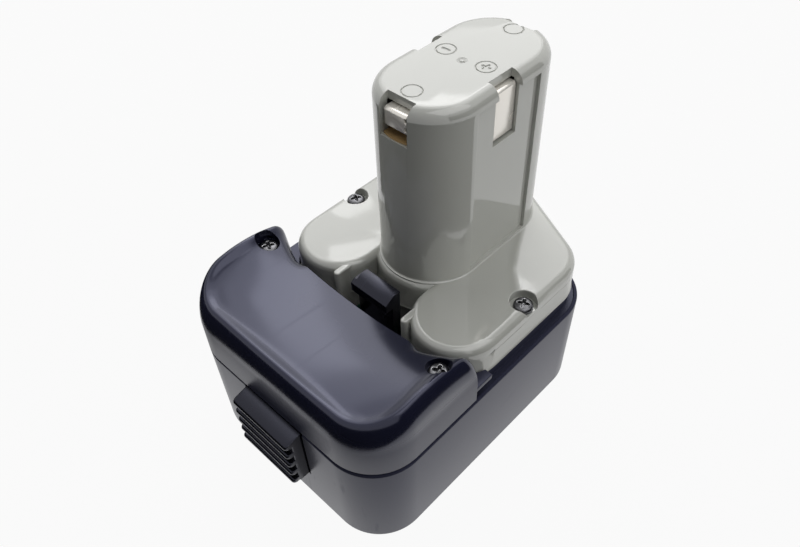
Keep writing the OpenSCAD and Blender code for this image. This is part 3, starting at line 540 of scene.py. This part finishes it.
def case_inset(z):
    """How far the wall leans in at height z."""
    return 0.5 * (1 - z / RIM)


def collar_ring(inset, z, share):
    """The collar's ring at the sides and rear; in front of them the ring lies on the ledge, at a share of it."""
    rear, front = case_ring(inset), case_ring(LIP + 1.2 * share)
    behind = rear[:, 1] > COLLAR_Y - 0.25
    return np.where(behind[:, None], raised(rear, z), raised(front, LEDGE))


foot = [raised(case_ring(case_inset(z) + a), z) for a, z in
        [(FOOT_ROUND * (1 - math.sin(t)), FOOT_ROUND * (1 - math.cos(t)))
         for t in np.radians(np.linspace(0, 90, 9))]]
lip = [raised(case_ring(a), RIM - b) for a, b in rounding(LIP_ROUND, 6)]
inside = [raised(case_ring(LIP - 0.1), RIM), raised(case_ring(LIP), RIM - 0.1), raised(case_ring(LIP), LEDGE),
          collar_ring(2.85, LEDGE, 1 / 4), collar_ring(2.85, COLLAR_TOP - 0.15, 3 / 8),
          collar_ring(2.95, COLLAR_TOP, 1 / 2), collar_ring(3.6, COLLAR_TOP, 3 / 4),
          collar_ring(3.6, LEDGE - 2, 1), raised(case_ring(2.43), LEDGE - 3.2), raised(case_ring(2.87), FLOOR)]
lower_case = skin("case_moulding", foot + lip + inside)
SLOT_HALF, SLOT_LOW = 12.0, 13.6
slot = block("button_slot", (-SLOT_HALF, -80, SLOT_LOW), (SLOT_HALF, -73.0, 36))
screw_bosses = [post("boss", s * SCREW_X, y, [
    (BOSS_R, 2.0), (BOSS_R, top - 0.2), (BOSS_R - 0.2, top), (1.3, top), (1.3, top - 13)], 32)
    for s in (-1, 1) for y, top in ((COVER_SCREW_Y, 49.0), (STEM_SCREW_Y, SHELF_LOW))]
lower_case = boolean(boolean(lower_case, screw_bosses, "UNION"), [slot])
smooth(lower_case, 30)
place(lower_case, "case_moulding", "lower_case", "body", "case")

# %% [markdown]
# ## Front cover
# The cover's top is scooped like a saddle: two side crests, a hollow between them, a soft bead just
# inside the edge and a large rounding down to the wall. That is a height for each point of its plan,
# so a grid of two parameters describes it better than boxes and bevels could.

# %% Height of the cover's top
CREST, FALL, DROP, ARCH_R, ARCH_Y = 57.0, 4.2, 7.7, 40.0, -54.0
ROUND_OUT, ROUND_DOWN, COVER_REAR = 3.2, 7.0, -43.5


def edge_gap(x, y):
    """Distance from a point of the plan to the cover's front and side outline."""
    ax = np.abs(x)
    corner = FRONT_R - np.hypot(ax - FRONT_CX, y - FRONT_CY)
    straight = np.minimum(WALL_X - ax, y - FRONT_Y)
    return np.where((y < FRONT_CY) & (ax > FRONT_CX), corner, straight)


def rear_y(x):
    """Rear edge of the cover: straight in the middle, swept back beside the screws."""
    return COVER_REAR + 6.2 * ease((np.abs(x) - 21.9) / 20.1)


def cover_height(x, y):
    """Hollow + share * (side crest - hollow), plus a bead near the edge, minus the front and rear roundings."""
    side = CREST - (y - ARCH_Y) ** 2 / (2 * ARCH_R)
    s = (y - FRONT_Y) / (COVER_REAR - FRONT_Y)
    middle = CREST - FALL - (DROP - FALL) * s * s
    share = np.minimum(1, np.abs(x) / (WALL_X - 1.9)) ** 2.2
    d = np.maximum(0, edge_gap(x, y))
    bead = 0.8 * np.exp(-((d - ROUND_OUT) / 1.8) ** 2)
    q = np.clip(1 - d / ROUND_OUT, 0, 1)
    front = ROUND_DOWN * (1 - np.sqrt(np.maximum(0, 1 - q * q)))
    r = np.clip(1 - (rear_y(x) - y) / 3.5, 0, 1)
    rear = 3.8 * (1 - np.sqrt(np.maximum(0, 1 - r * r))) * ease((np.abs(x) - 19.8) / 6)
    return middle + (side - middle) * share + bead - front - rear


print("crest", round(float(cover_height(np.array(36.0), np.array(-54.0))), 2), "mm")

# %% Cover shell
COVER_WALL, SEAM, GAPE = 2.3, 0.2, 0.75


def cover_grid(inset, sink, rows=110, cols=170):
    """Grid of points over the cover's plan: rows from front to rear, columns across, closer at the edges."""
    v = (1 - np.cos(np.linspace(0, np.pi, rows))) / 2
    u = np.sin(np.linspace(-np.pi / 2, np.pi / 2, cols))
    share, column = np.meshgrid(v, u, indexing="ij")
    y0 = FRONT_Y + inset + (COVER_REAR - FRONT_Y - 2 * inset) * share
    round_part = FRONT_CX + np.sqrt(np.maximum(0, (FRONT_R - inset) ** 2 - (y0 - FRONT_CY) ** 2))
    half = np.where(y0 < FRONT_CY, round_part, WALL_X - inset)
    x = column * half
    y = y0 + (rear_y(x) - COVER_REAR) * share ** 4
    return np.stack([x, y, cover_height(x, y) - sink], -1)


def cover_shell(name, rows=110, cols=170):
    """Outer and inner height fields joined down the wall and round the foot: one closed wall.

    The foot stands SEAM off the case, and GAPE more at the right, where the seam is seen to gape.
    """
    outer, inner = cover_grid(0, 0, rows, cols), cover_grid(COVER_WALL, COVER_WALL, rows, cols)
    index = np.arange(rows * cols).reshape(rows, cols)
    edge = np.concatenate([index[0, :-1], index[:-1, -1], index[-1, :0:-1], index[:0:-1, 0]])
    foot_rings = []
    for inset, z in [(0, RIM + 0.4), (0.1, RIM + 0.12), (0.35, RIM + 0.02), (0.8, RIM)]:
        ring = cover_grid(inset, 0, rows, cols).reshape(-1, 3)[edge]
        ring[:, 2] = z + SEAM + GAPE * ease((ring[:, 0] - 4) / 20)
        foot_rings.append(ring)
    last = inner.reshape(-1, 3)[edge].copy()
    last[:, 2] = RIM
    foot_rings.append(last)
    count, m = rows * cols, len(edge)
    points = np.concatenate([outer.reshape(-1, 3), inner.reshape(-1, 3)] + foot_rings) * MM
    a, b, c, d = index[:-1, :-1], index[:-1, 1:], index[1:, 1:], index[1:, :-1]
    grid = np.stack([a, b, c, d], -1).reshape(-1, 4)
    rings = [edge] + [2 * count + k * m + np.arange(m) for k in range(len(foot_rings))] + [count + edge]
    walls = [np.stack([p, q, np.roll(q, -1), np.roll(p, -1)], -1) for p, q in zip(rings, rings[1:])]
    faces = np.concatenate([grid, count + grid[:, ::-1]] + walls)
    mesh = bpy.data.meshes.new(name)
    mesh.from_pydata(points.tolist(), [], faces.tolist())
    mesh.validate()
    return link(name, mesh)


def corner_plate(s):
    """The small flat in the corner between the cover and a lobe, cut to the lobe's round."""
    plate = block("plate", (s * 30.6, -43.8, 39.2), (s * 39.15, -31.0, 41.0))
    return soften(boolean(plate, [post("lobe", s * COLUMN_X, MID_Y, [(13.8, 38), (13.8, 42)], 96)]), 0.22)


def at_screws(name, radius, low, high, n=64):
    """One upright cylinder at each of the cover's two screws."""
    return [post(name, s * SCREW_X, COVER_SCREW_Y, [(radius, low), (radius, high)], n) for s in (-1, 1)]


front_cover = cover_shell("cover_moulding")
bosses, sinks = at_screws("boss", 4.6, 49.0, 52.55), at_screws("sink", 3.5, COVER_SEAT, 62)
holes = at_screws("hole", 1.6, 48, 53, 24)
front_cover = boolean(front_cover, bosses + [corner_plate(s) for s in (-1, 1)], "UNION")
front_cover = boolean(front_cover, sinks + holes)
smooth(front_cover, 32)
place(front_cover, "cover_moulding", "front_cover", "body", "cover")

# %% [markdown]
# ## Latch
# The button, its arm and the hook are one moulding. The button's ribs have round noses, and at both ends
# the whole front curves back into the case. So the button is one outline carried along X, with the part
# that stands out of the case scaled by how near the end is. The hook is a plain outline with soft edges.

# %% Button
BUTTON_HALF, PLATE_Y, TIP_Y = 11.4, -73.25, -81.95
END_ROUND, END_SHARE = 0.9, 0.14


def button_outline():
    """The button seen from its end, from the bottom up: five round-nosed ribs, the top one a slanted lip."""
    pitch, deep, low, top = 4.267, 2.2, 14.2, 34.5
    half = pitch * 0.38 / 2
    points = [(PLATE_Y, low), (TIP_Y + deep, low)]
    for i in range(4, -1, -1):
        z = top - 1.1 - i * pitch - half
        t = np.radians(np.linspace(270, 90 if i else 130, 11))
        points.append((TIP_Y + deep - 0.15, z - half - 0.02))
        points += list(zip(TIP_Y + 0.8 + 0.8 * np.cos(t), z + half * np.sin(t)))
        if i:
            points.append((TIP_Y + deep - 0.15, z + half + 0.02))
    points += [(TIP_Y + 0.5, 33.4), (TIP_Y + 0.9, 33.55), (FRONT_Y - 1.8, 34.15), (FRONT_Y, 34.5), (PLATE_Y, 34.5)]
    return np.array(points, float)


def button_skin():
    """The outline at each x. What stands out of the case is scaled by 1 - d + d sqrt(1 - t^2).

    d is END_SHARE, and t is how far x has come through the end's rounding, from 0 to 1.
    """
    outline = button_outline()[::-1]
    reach = np.linspace(0, 1, 9)
    x_end = BUTTON_HALF - END_ROUND + END_ROUND * np.sin(reach * np.pi / 2)
    xs = np.concatenate([-x_end[::-1], x_end])
    t = np.clip((np.abs(xs) - BUTTON_HALF + END_ROUND) / END_ROUND, 0, 1)
    g = 1 - END_SHARE + END_SHARE * np.sqrt(np.maximum(0, 1 - t ** 2))
    y = outline[None, :, 0] + 0 * xs[:, None]
    y = np.where(y < FRONT_Y, FRONT_Y + (y - FRONT_Y) * g[:, None], y)
    z = outline[None, :, 1] + 0 * xs[:, None]
    return skin("button", np.stack([xs[:, None] + 0 * y, y, z], -1))


button = button_skin()
print("button faces", len(button.data.polygons))

# %% Plate, arm, hook
HOOK_REAR, POST_Y, HOOK_TOP, NOSE_OUT = -33.0, -36.2, 52.0, 2.5
ARM_HALF, ARM_LOW, ARM_TOP, SPRING_Z = 8.0, 28.9, 33.9, 20.2
plate = soften(block("plate", (-BUTTON_HALF, PLATE_Y - 0.02, 12.0), (BUTTON_HALF, PLATE_Y + 1.8, 37.1)), 0.3)
arm = soften(block("arm", (-ARM_HALF, PLATE_Y + 1.0, ARM_LOW), (ARM_HALF, HOOK_REAR, ARM_TOP)), 0.4)
hook = prism("hook", [(POST_Y, ARM_LOW), (HOOK_REAR, ARM_LOW), (HOOK_REAR, HOOK_TOP), (POST_Y + 0.5, HOOK_TOP),
                      (POST_Y - NOSE_OUT, 50.1), (POST_Y - NOSE_OUT, 47.0), (POST_Y, 47.0)], "x", -7.0, 7.0)
step = block("step", (-ARM_HALF, POST_Y - 1.0, 50.9), (-6.0, HOOK_REAR + 1, 53))
hook = soften(boolean(hook, [step]), 0.3)
spigot_t = np.radians(np.linspace(0, 345, 24))
spigot = prism("spigot", np.stack([2.2 * np.cos(spigot_t), SPRING_Z + 2.2 * np.sin(spigot_t)], 1),
               "y", PLATE_Y + 1, -67.9)
latch = boolean(button, [plate, arm, hook, spigot], "UNION")
smooth(latch, 35)
place(latch, "latch_moulding", "latch", "latch", "latch")

# %% [markdown]
# ## Spring, screws and contacts
# The spring is a circle carried along a helix whose pitch is small at both ends, as a ground spring has. The
# screws are turned profiles with a cross cut in. A contact is a strip folded over a small radius.

# %% Spring
def tube(name, path, radius, sides=12):
    """A circle carried along a path: at each point it lies in the plane across the path's direction."""
    path = np.asarray(path, float)
    ahead = np.gradient(path, axis=0)
    ahead /= np.linalg.norm(ahead, axis=1)[:, None]
    across = np.cross(ahead, (0, 1, 0))
    across /= np.linalg.norm(across, axis=1)[:, None]
    up = np.cross(ahead, across)
    t = np.linspace(0, 2 * np.pi, sides, endpoint=False)[None, :, None]
    return skin(name, path[:, None] + radius * (np.cos(t) * across[:, None] + np.sin(t) * up[:, None]))


COIL_R, WIRE_R, COIL_FRONT, COIL_LENGTH = 3.55, 0.45, -70.9, 12.7
turns = np.linspace(0, 8.5, 8 * 26 + 1)
climb = np.interp(turns, [0, 1, 7.5, 8.5], [0, 0.075, 0.925, 1])
coil_t = 2 * np.pi * turns
spring = tube("spring", np.stack([COIL_R * np.cos(coil_t), COIL_FRONT + COIL_LENGTH * climb,
                                  SPRING_Z + COIL_R * np.sin(coil_t)], 1), WIRE_R)
smooth(spring, 60)
place(spring, "coil_spring", "latch_spring", "body", "spring")
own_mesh(spring)

# %% Screws
def pan_screw(s, y, seat, quarter):
    """A turned pan-head screw: a ridged shank, a domed head, and a tapered cross cut into it."""
    ridges = [(1.2 if k % 2 else 1.02, seat - 13.2 + 0.45 * k) for k in range(26)]
    body = post("screw", s * SCREW_X, y, [(0.3, seat - 14.3)] + ridges + [
        (1.25, seat - 0.9), (1.25, seat), (2.7, seat), (2.85, seat + 0.15), (2.85, seat + 0.95), (2.76, seat + 1.3),
        (2.5, seat + 1.6), (2.0, seat + 1.82), (1.3, seat + 1.96), (0.4, seat + 2.0)], 40)
    cross = [loft("cross", [(capsule(s * SCREW_X, y, quarter + a, 0.85, 0.34, 4), seat + 0.5),
                            (capsule(s * SCREW_X, y, quarter + a, 1.5, 0.58, 4), seat + 2.2)]) for a in (0, 90)]
    return boolean(body, cross)


for name, node, y, seat in (("cover_screw_pair", "cover_screws", COVER_SCREW_Y, COVER_SEAT),
                            ("stem_screw_pair", "stem_screws", STEM_SCREW_Y, STEM_SEAT)):
    pair = boolean(pan_screw(1, y, seat, 25), [pan_screw(-1, y, seat, 62)], "UNION")
    place(smooth(pair, 40), name, node, "body", "screw")

# %% Contacts
def fold(reach, low, back, foot_in=0):
    """Outline of a folded strip, 0.6 mm thick: flange, outside bend of 0.9 mm, plate, and a foot turned in."""
    top, thick, r = 103.9, 0.6, 0.9
    bend = arc(reach - r, top - r, r, 90, 0, 8)
    inner = arc(reach - r, top - r, r - thick, 0, 90, 8)
    foot_outline = [(reach, low), (reach - foot_in - thick, low), (reach - foot_in - thick, low + thick),
                    (reach - thick, low + thick)] if foot_in else [(reach, low), (reach - thick, low)]
    return np.concatenate([[(back, top)], bend, foot_outline, inner, [(back, top - thick)]])


def side_contact(name, node, s):
    """A blade that faces the side window, folded back at its top."""
    outline = fold(13.4, 89.7, 4.0) * (s, 1)
    piece = soften(prism(name, outline, "y", -4.3, 4.3), 0.1, 2, 50)
    return place(smooth(piece, 35), name, node, "body", "contact")


def end_contact(name, node, s):
    """A narrower blade at an end of the stem, with a foot turned in and two notches in one edge."""
    outline = fold(25.25, 98.9, 15.6, 1.6) * (s, 1)
    piece = prism(name, outline, "x", -3.6, 3.6)
    notches = [block("notch", (3.0, s * 23.0, z), (4.0, s * 26.0, z + 1.1)) for z in (99.5, 102.1)]
    piece = soften(boolean(piece, notches), 0.08, 2, 50)
    return place(smooth(piece, 35), name, node, "body", "contact")


def card_washer():
    """The kraft washer on the front cell: a disc, and a tongue that turns up and lies on the window's sill."""
    disc = post("disc", 0, -STEM_Y, [(11.5, 93.6), (11.5, 94.1)], 96)
    riser = block("riser", (-4.3, -23.0, 93.7), (4.3, -22.6, 96.2))
    tongue = block("tongue", (-4.4, -27.0, 95.82), (4.4, -22.6, 96.25))
    edge = post("edge", 0, -STEM_Y, [(STEM_R - 1.05, 95), (STEM_R - 1.05, 97)], 128)
    disc = boolean(disc, [riser, boolean(tongue, [edge], "INTERSECT")], "UNION")
    return place(smooth(disc, 35), "front_washer", "washer_front", "body", "washer")


washer = card_washer()
blades = [side_contact("plus_blade", "contact_plus", 1), side_contact("minus_blade", "contact_minus", -1),
          end_contact("front_blade", "contact_s", -1), end_contact("rear_blade", "contact_t", 1)]

# %% [markdown]
# ## Finishes
# Moulded plastic is never one flat colour. It has a fine orange-peel surface, a slow drift in shade, rounded edges
# with a painted highlight along them, and hair scratches that show only in reflections. Each of these is a node
# group with named inputs, so that every finish can use it with its own values.

# %% Node group helpers
def new_group(name, inputs, outputs):
    """A shader node group: inputs are (name, type, value), outputs are (name, type)."""
    group = bpy.data.node_groups.new(name, "ShaderNodeTree")
    for label, kind, value in inputs:
        socket = group.interface.new_socket(name=label, in_out="INPUT", socket_type=kind)
        if value is not None:
            socket.default_value = value
    for label, kind in outputs:
        group.interface.new_socket(name=label, in_out="OUTPUT", socket_type=kind)
    return group, group.nodes.new("NodeGroupInput"), group.nodes.new("NodeGroupOutput")


NUMBER, COLOUR = "NodeSocketFloat", "NodeSocketColor"
print("socket types", NUMBER, COLOUR)

# %% Orange peel and grain
def make_surface_group():
    """Two noises of different size, weighted and added as a height."""
    group, g_in, g_out = new_group("moulded_surface", [
        ("Peel Scale", NUMBER, 400.0), ("Grain Scale", NUMBER, 5000.0), ("Peel Share", NUMBER, 0.7)],
        [("Height", NUMBER)])
    coord = add(group, "TexCoord")
    peel, grain = add(group, "TexNoise"), add(group, "TexNoise")
    mix = add(group, "Mix")
    for noise, label in ((peel, "Peel Scale"), (grain, "Grain Scale")):
        wire(group, coord.outputs["Object"], noise.inputs["Vector"])
        wire(group, g_in.outputs[label], noise.inputs["Scale"])
    wire(group, g_in.outputs["Peel Share"], mix.inputs[0])
    wire(group, grain.outputs[0], mix.inputs[2])
    wire(group, peel.outputs[0], mix.inputs[3])
    wire(group, mix.outputs[0], g_out.inputs[0])
    return group


SURFACE = make_surface_group()
print(SURFACE.name)

# %% Slow drift in shade, with flow lines
def make_drift_group():
    """Slow drift between two colours: a broad noise, bent by another so that it looks like flowing plastic."""
    group, g_in, g_out = new_group("shade_drift", [
        ("Colour", COLOUR, (0.5, 0.5, 0.5, 1)), ("Other Colour", COLOUR, (0.4, 0.4, 0.4, 1)),
        ("Scale", NUMBER, 25.0)], [("Colour", COLOUR)])
    coord, noise = add(group, "TexCoord"), put(add(group, "TexNoise"), Distortion=1.2)
    mix = add(group, "Mix")
    mix.data_type = "RGBA"
    wire(group, coord.outputs["Object"], noise.inputs["Vector"])
    wire(group, g_in.outputs["Scale"], noise.inputs["Scale"])
    wire(group, noise.outputs[0], mix.inputs[0])
    wire(group, g_in.outputs["Colour"], mix.inputs[6])
    wire(group, g_in.outputs["Other Colour"], mix.inputs[7])
    wire(group, mix.outputs[2], g_out.inputs[0])
    return group


DRIFT = make_drift_group()
print(DRIFT.name)

# %% Hair scratches
def make_scratch_group():
    """Two noises, each stretched along its own direction, kept only where they are near their highest value."""
    group, g_in, g_out = new_group("hair_scratches", [
        ("Scale", NUMBER, 400.0), ("Smooth", NUMBER, 0.2), ("Rough", NUMBER, 0.3)],
        [("Roughness", NUMBER), ("Mask", NUMBER)])
    coord = add(group, "TexCoord")
    masks = []
    for angles, stretch in (((0.3, 0.2, 0.7), (1.0, 0.03, 0.2)), ((0.1, 0.5, 2.1), (1.0, 0.05, 0.15))):
        mapping, noise = put(add(group, "Mapping"), Rotation=angles, Scale=stretch), add(group, "TexNoise")
        keep = put(add(group, "MapRange"), From_Min=0.66, From_Max=0.74)
        wire(group, coord.outputs["Object"], mapping.inputs["Vector"])
        wire(group, mapping.outputs[0], noise.inputs["Vector"])
        wire(group, g_in.outputs["Scale"], noise.inputs["Scale"])
        wire(group, noise.outputs[0], keep.inputs["Value"])
        masks.append(keep.outputs[0])
    both, spread = add(group, "Math", "MAXIMUM"), add(group, "MapRange")
    for k, mask in enumerate(masks):
        wire(group, mask, both.inputs[k])
    wire(group, both.outputs[0], spread.inputs["Value"])
    wire(group, g_in.outputs["Smooth"], spread.inputs["To Min"])
    wire(group, g_in.outputs["Rough"], spread.inputs["To Max"])
    wire(group, spread.outputs[0], g_out.inputs[0])
    wire(group, both.outputs[0], g_out.inputs[1])
    return group


SCRATCH = make_scratch_group()
print(SCRATCH.name)

# %% Rounded edges with a painted highlight
def make_edge_highlight_group():
    """Where the rounded normal and the true normal differ there is an edge. There the colour is lightened towards a
    painted highlight, broken up by a noise.
    """
    group, g_in, g_out = new_group("edge_wear", [
        ("Radius", NUMBER, 0.0002), ("Colour", COLOUR, (0.5, 0.5, 0.5, 1)),
        ("Worn Colour", COLOUR, (0.6, 0.6, 0.6, 1)), ("Amount", NUMBER, 0.5)],
        [("Colour", COLOUR), ("Normal", "NodeSocketVector")])
    bevel, geometry = add(group, "Bevel"), add(group, "NewGeometry")
    bevel.samples = 6
    dot = add(group, "VectorMath", "DOT_PRODUCT")
    keep = put(add(group, "MapRange"), From_Min=0.985, From_Max=0.86)
    coord, noise = add(group, "TexCoord"), put(add(group, "TexNoise"), Scale=260.0)
    broken, scaled = add(group, "Math", "MULTIPLY"), add(group, "Math", "MULTIPLY")
    mix = add(group, "Mix")
    mix.data_type = "RGBA"
    wire(group, g_in.outputs["Radius"], bevel.inputs["Radius"])
    wire(group, bevel.outputs[0], dot.inputs[0])
    wire(group, geometry.outputs["Normal"], dot.inputs[1])
    wire(group, dot.outputs["Value"], keep.inputs["Value"])
    wire(group, coord.outputs["Object"], noise.inputs["Vector"])
    wire(group, keep.outputs[0], broken.inputs[0])
    wire(group, noise.outputs[0], broken.inputs[1])
    wire(group, broken.outputs[0], scaled.inputs[0])
    wire(group, g_in.outputs["Amount"], scaled.inputs[1])
    wire(group, scaled.outputs[0], mix.inputs[0])
    wire(group, g_in.outputs["Colour"], mix.inputs[6])
    wire(group, g_in.outputs["Worn Colour"], mix.inputs[7])
    wire(group, mix.outputs[2], g_out.inputs[0])
    wire(group, bevel.outputs[0], g_out.inputs[1])
    return group


EDGE_HIGHLIGHT = make_edge_highlight_group()
print(EDGE_HIGHLIGHT.name)

# %% Bands by height
def make_band_group():
    """Straight ramp in height: (z - Low) / (High - Low), kept between 0 and 1. Low may lie above High."""
    group, g_in, g_out = new_group("height_band", [
        ("Low", NUMBER, 0.0), ("High", NUMBER, 0.001)], [("Mask", NUMBER)])
    coord, apart = add(group, "TexCoord"), add(group, "SeparateXYZ")
    ramp = add(group, "MapRange")
    wire(group, coord.outputs["Object"], apart.inputs[0])
    wire(group, apart.outputs[2], ramp.inputs["Value"])
    wire(group, g_in.outputs["Low"], ramp.inputs["From Min"])
    wire(group, g_in.outputs["High"], ramp.inputs["From Max"])
    wire(group, ramp.outputs[0], g_out.inputs[0])
    return group


BAND = make_band_group()
print(BAND.name)

# %% Finish maker
def use(tree, group, **values):
    """Places a node group in a material and sets its inputs."""
    node = add(tree, "Group")
    node.node_tree = group
    return put(node, **values)


def finish(name, colour, other, rough=(0.25, 0.35), peel=400.0, grain=5000.0, share=0.7, bump=0.2, depth=0.01,
           metallic=0.0, scratch=400.0, drift=25.0, specular=0.5, tint=(1, 1, 1), edge_highlight=None, amount=0.5, edge=0.12,
           band=None):
    """A material from the groups: drifting colour, rounded edges with a painted highlight, scratched roughness and
    a fine relief.

    band is (low mm, high mm, roughness): where the ramp in height is 1, the mould was finished that rough.
    """
    mat = bpy.data.materials.new(name)
    mat.use_nodes = True
    tree = mat.node_tree
    shader = put(tree.nodes["Principled BSDF"], Metallic=metallic, Specular_IOR_Level=specular,
                 Specular_Tint=(*tint, 1))
    colours = use(tree, DRIFT, Colour=(*colour, 1), Other_Colour=(*other, 1), Scale=drift)
    lines = use(tree, SCRATCH, Scale=scratch, Smooth=rough[0], Rough=rough[1])
    surface = use(tree, SURFACE, Peel_Scale=peel, Grain_Scale=grain, Peel_Share=share)
    # Unless given, the colour of the painted edge highlight is half again as light as the base colour.
    edge_highlight = edge_highlight or tuple(min(1, 1.5 * c + 0.01) for c in colour)
    edges = use(tree, EDGE_HIGHLIGHT, Radius=edge * MM, Worn_Colour=(*edge_highlight, 1), Amount=amount)
    relief = put(add(tree, "Bump"), Strength=bump, Distance=depth * MM)
    wire(tree, colours.outputs[0], edges.inputs["Colour"])
    wire(tree, edges.outputs["Colour"], shader.inputs["Base Color"])
    wire(tree, lines.outputs["Roughness"], shader.inputs["Roughness"])
    wire(tree, surface.outputs[0], relief.inputs["Height"])
    wire(tree, edges.outputs["Normal"], relief.inputs["Normal"])
    wire(tree, relief.outputs[0], shader.inputs["Normal"])
    if band:
        ramp = use(tree, BAND, Low=band[0] * MM, High=band[1] * MM)
        mix = add(tree, "Mix")
        wire(tree, ramp.outputs[0], mix.inputs[0])
        wire(tree, lines.outputs["Roughness"], mix.inputs[2])
        mix.inputs[3].default_value = band[2]
        wire(tree, mix.outputs[0], shader.inputs["Roughness"])
    return mat


COOL = (0.74, 0.76, 0.98)
# The lighter edge colour given to each finish below is a painted highlight along its rounded edges.
navy = finish("navy_gloss", (0.009, 0.010, 0.024), (0.013, 0.014, 0.031), (0.32, 0.4), specular=0.56, tint=COOL,
              edge_highlight=(0.05, 0.052, 0.07), edge=0.2, band=(34.2, 34.6, 0.8))
polished = finish("navy_polished", (0.009, 0.010, 0.024), (0.014, 0.015, 0.032), (0.16, 0.25), specular=0.56,
                  tint=COOL, edge_highlight=(0.05, 0.052, 0.07), drift=60, edge=0.2, band=(49.0, 45.0, 0.42))
grey = finish("grey_gloss", (0.50, 0.506, 0.468), (0.53, 0.535, 0.495), (0.06, 0.13), specular=1.0, edge=0.18,
              edge_highlight=(0.6, 0.605, 0.56))
black = finish("black_gloss", (0.0035, 0.0035, 0.005), (0.006, 0.006, 0.009), (0.22, 0.34), specular=0.45,
               tint=COOL, edge_highlight=(0.02, 0.02, 0.026), edge=0.2)
steel_black = finish("black_oxide", (0.09, 0.09, 0.095), (0.14, 0.14, 0.15), (0.2, 0.34), metallic=0.85,
                     edge_highlight=(0.8, 0.8, 0.82), amount=1.6, edge=0.3)
bright = finish("bright_blade", (1.0, 0.965, 0.90), (0.96, 0.92, 0.85), (0.26, 0.38), metallic=0.5, bump=0.1)
nickel = finish("bright_nickel", (0.92, 0.88, 0.79), (0.86, 0.80, 0.69), (0.28, 0.42), metallic=0.7, bump=0.1)
can_steel = finish("can_steel", (0.55, 0.55, 0.54), (0.62, 0.62, 0.6), (0.25, 0.4), metallic=1.0)
wire_steel = finish("spring_steel", (0.5, 0.5, 0.49), (0.6, 0.6, 0.58), (0.2, 0.35), metallic=1.0)
kraft = finish("kraft_card", (0.40, 0.25, 0.10), (0.52, 0.35, 0.16), (0.7, 0.85), peel=900, share=0.4, bump=0.5,
               depth=0.03, drift=500)
foam_mat = finish("foam", (0.02, 0.02, 0.022), (0.04, 0.04, 0.042), (0.85, 0.95), peel=1500, bump=0.8, depth=0.1)
sleeve_green = finish("sleeve_film", (0.05, 0.22, 0.12), (0.06, 0.26, 0.14), (0.3, 0.4))
natural = finish("natural_nylon", (0.62, 0.6, 0.54), (0.68, 0.66, 0.6), (0.45, 0.55))
holder_black = finish("glass_filled_nylon", (0.012, 0.012, 0.013), (0.02, 0.02, 0.021), (0.5, 0.65), bump=0.4,
                      depth=0.03, share=0.3)
bead_brown = finish("epoxy_bead", (0.2, 0.08, 0.03), (0.26, 0.11, 0.04), (0.25, 0.35))
white_wire = finish("white_insulation", (0.7, 0.7, 0.67), (0.76, 0.76, 0.73), (0.4, 0.5))
blue_wire = finish("blue_insulation", (0.02, 0.07, 0.3), (0.03, 0.09, 0.36), (0.4, 0.5))
print("finishes", len(bpy.data.materials))

# %% Put each finish on its piece
by_slot = {"case": navy, "cover": polished, "stem": grey, "latch": black, "spring": wire_steel,
           "screw": steel_black, "cell": can_steel, "sleeve": sleeve_green, "nickel": nickel,
           "foam": foam_mat, "card": kraft, "spacer": natural, "washer": kraft,
           "holder": holder_black, "contact": nickel,
           "thermostat": steel_black, "thermistor": bead_brown, "wire_white": white_wire, "wire_blue": blue_wire}
slot_of = {p["node"]: p["material_slot"] for p in frame["record"]["subparts"]}
for name, node in frame["nodes"].items():
    node.data.materials.clear()
    node.data.materials.append(by_slot[slot_of[name]])
own = {"stem_moulding": grey, "case_moulding": navy, "cover_moulding": polished, "latch_moulding": black,
       "coil_spring": wire_steel, "cover_screw_pair": steel_black, "stem_screw_pair": steel_black}
own.update({blade.name: bright for blade in blades})
own[washer.name] = kraft
for name, mat in own.items():
    bpy.data.objects[name].data.materials.clear()
    bpy.data.objects[name].data.materials.append(mat)
print("dressed", len(slot_of), "nodes and", len(own), "pieces")
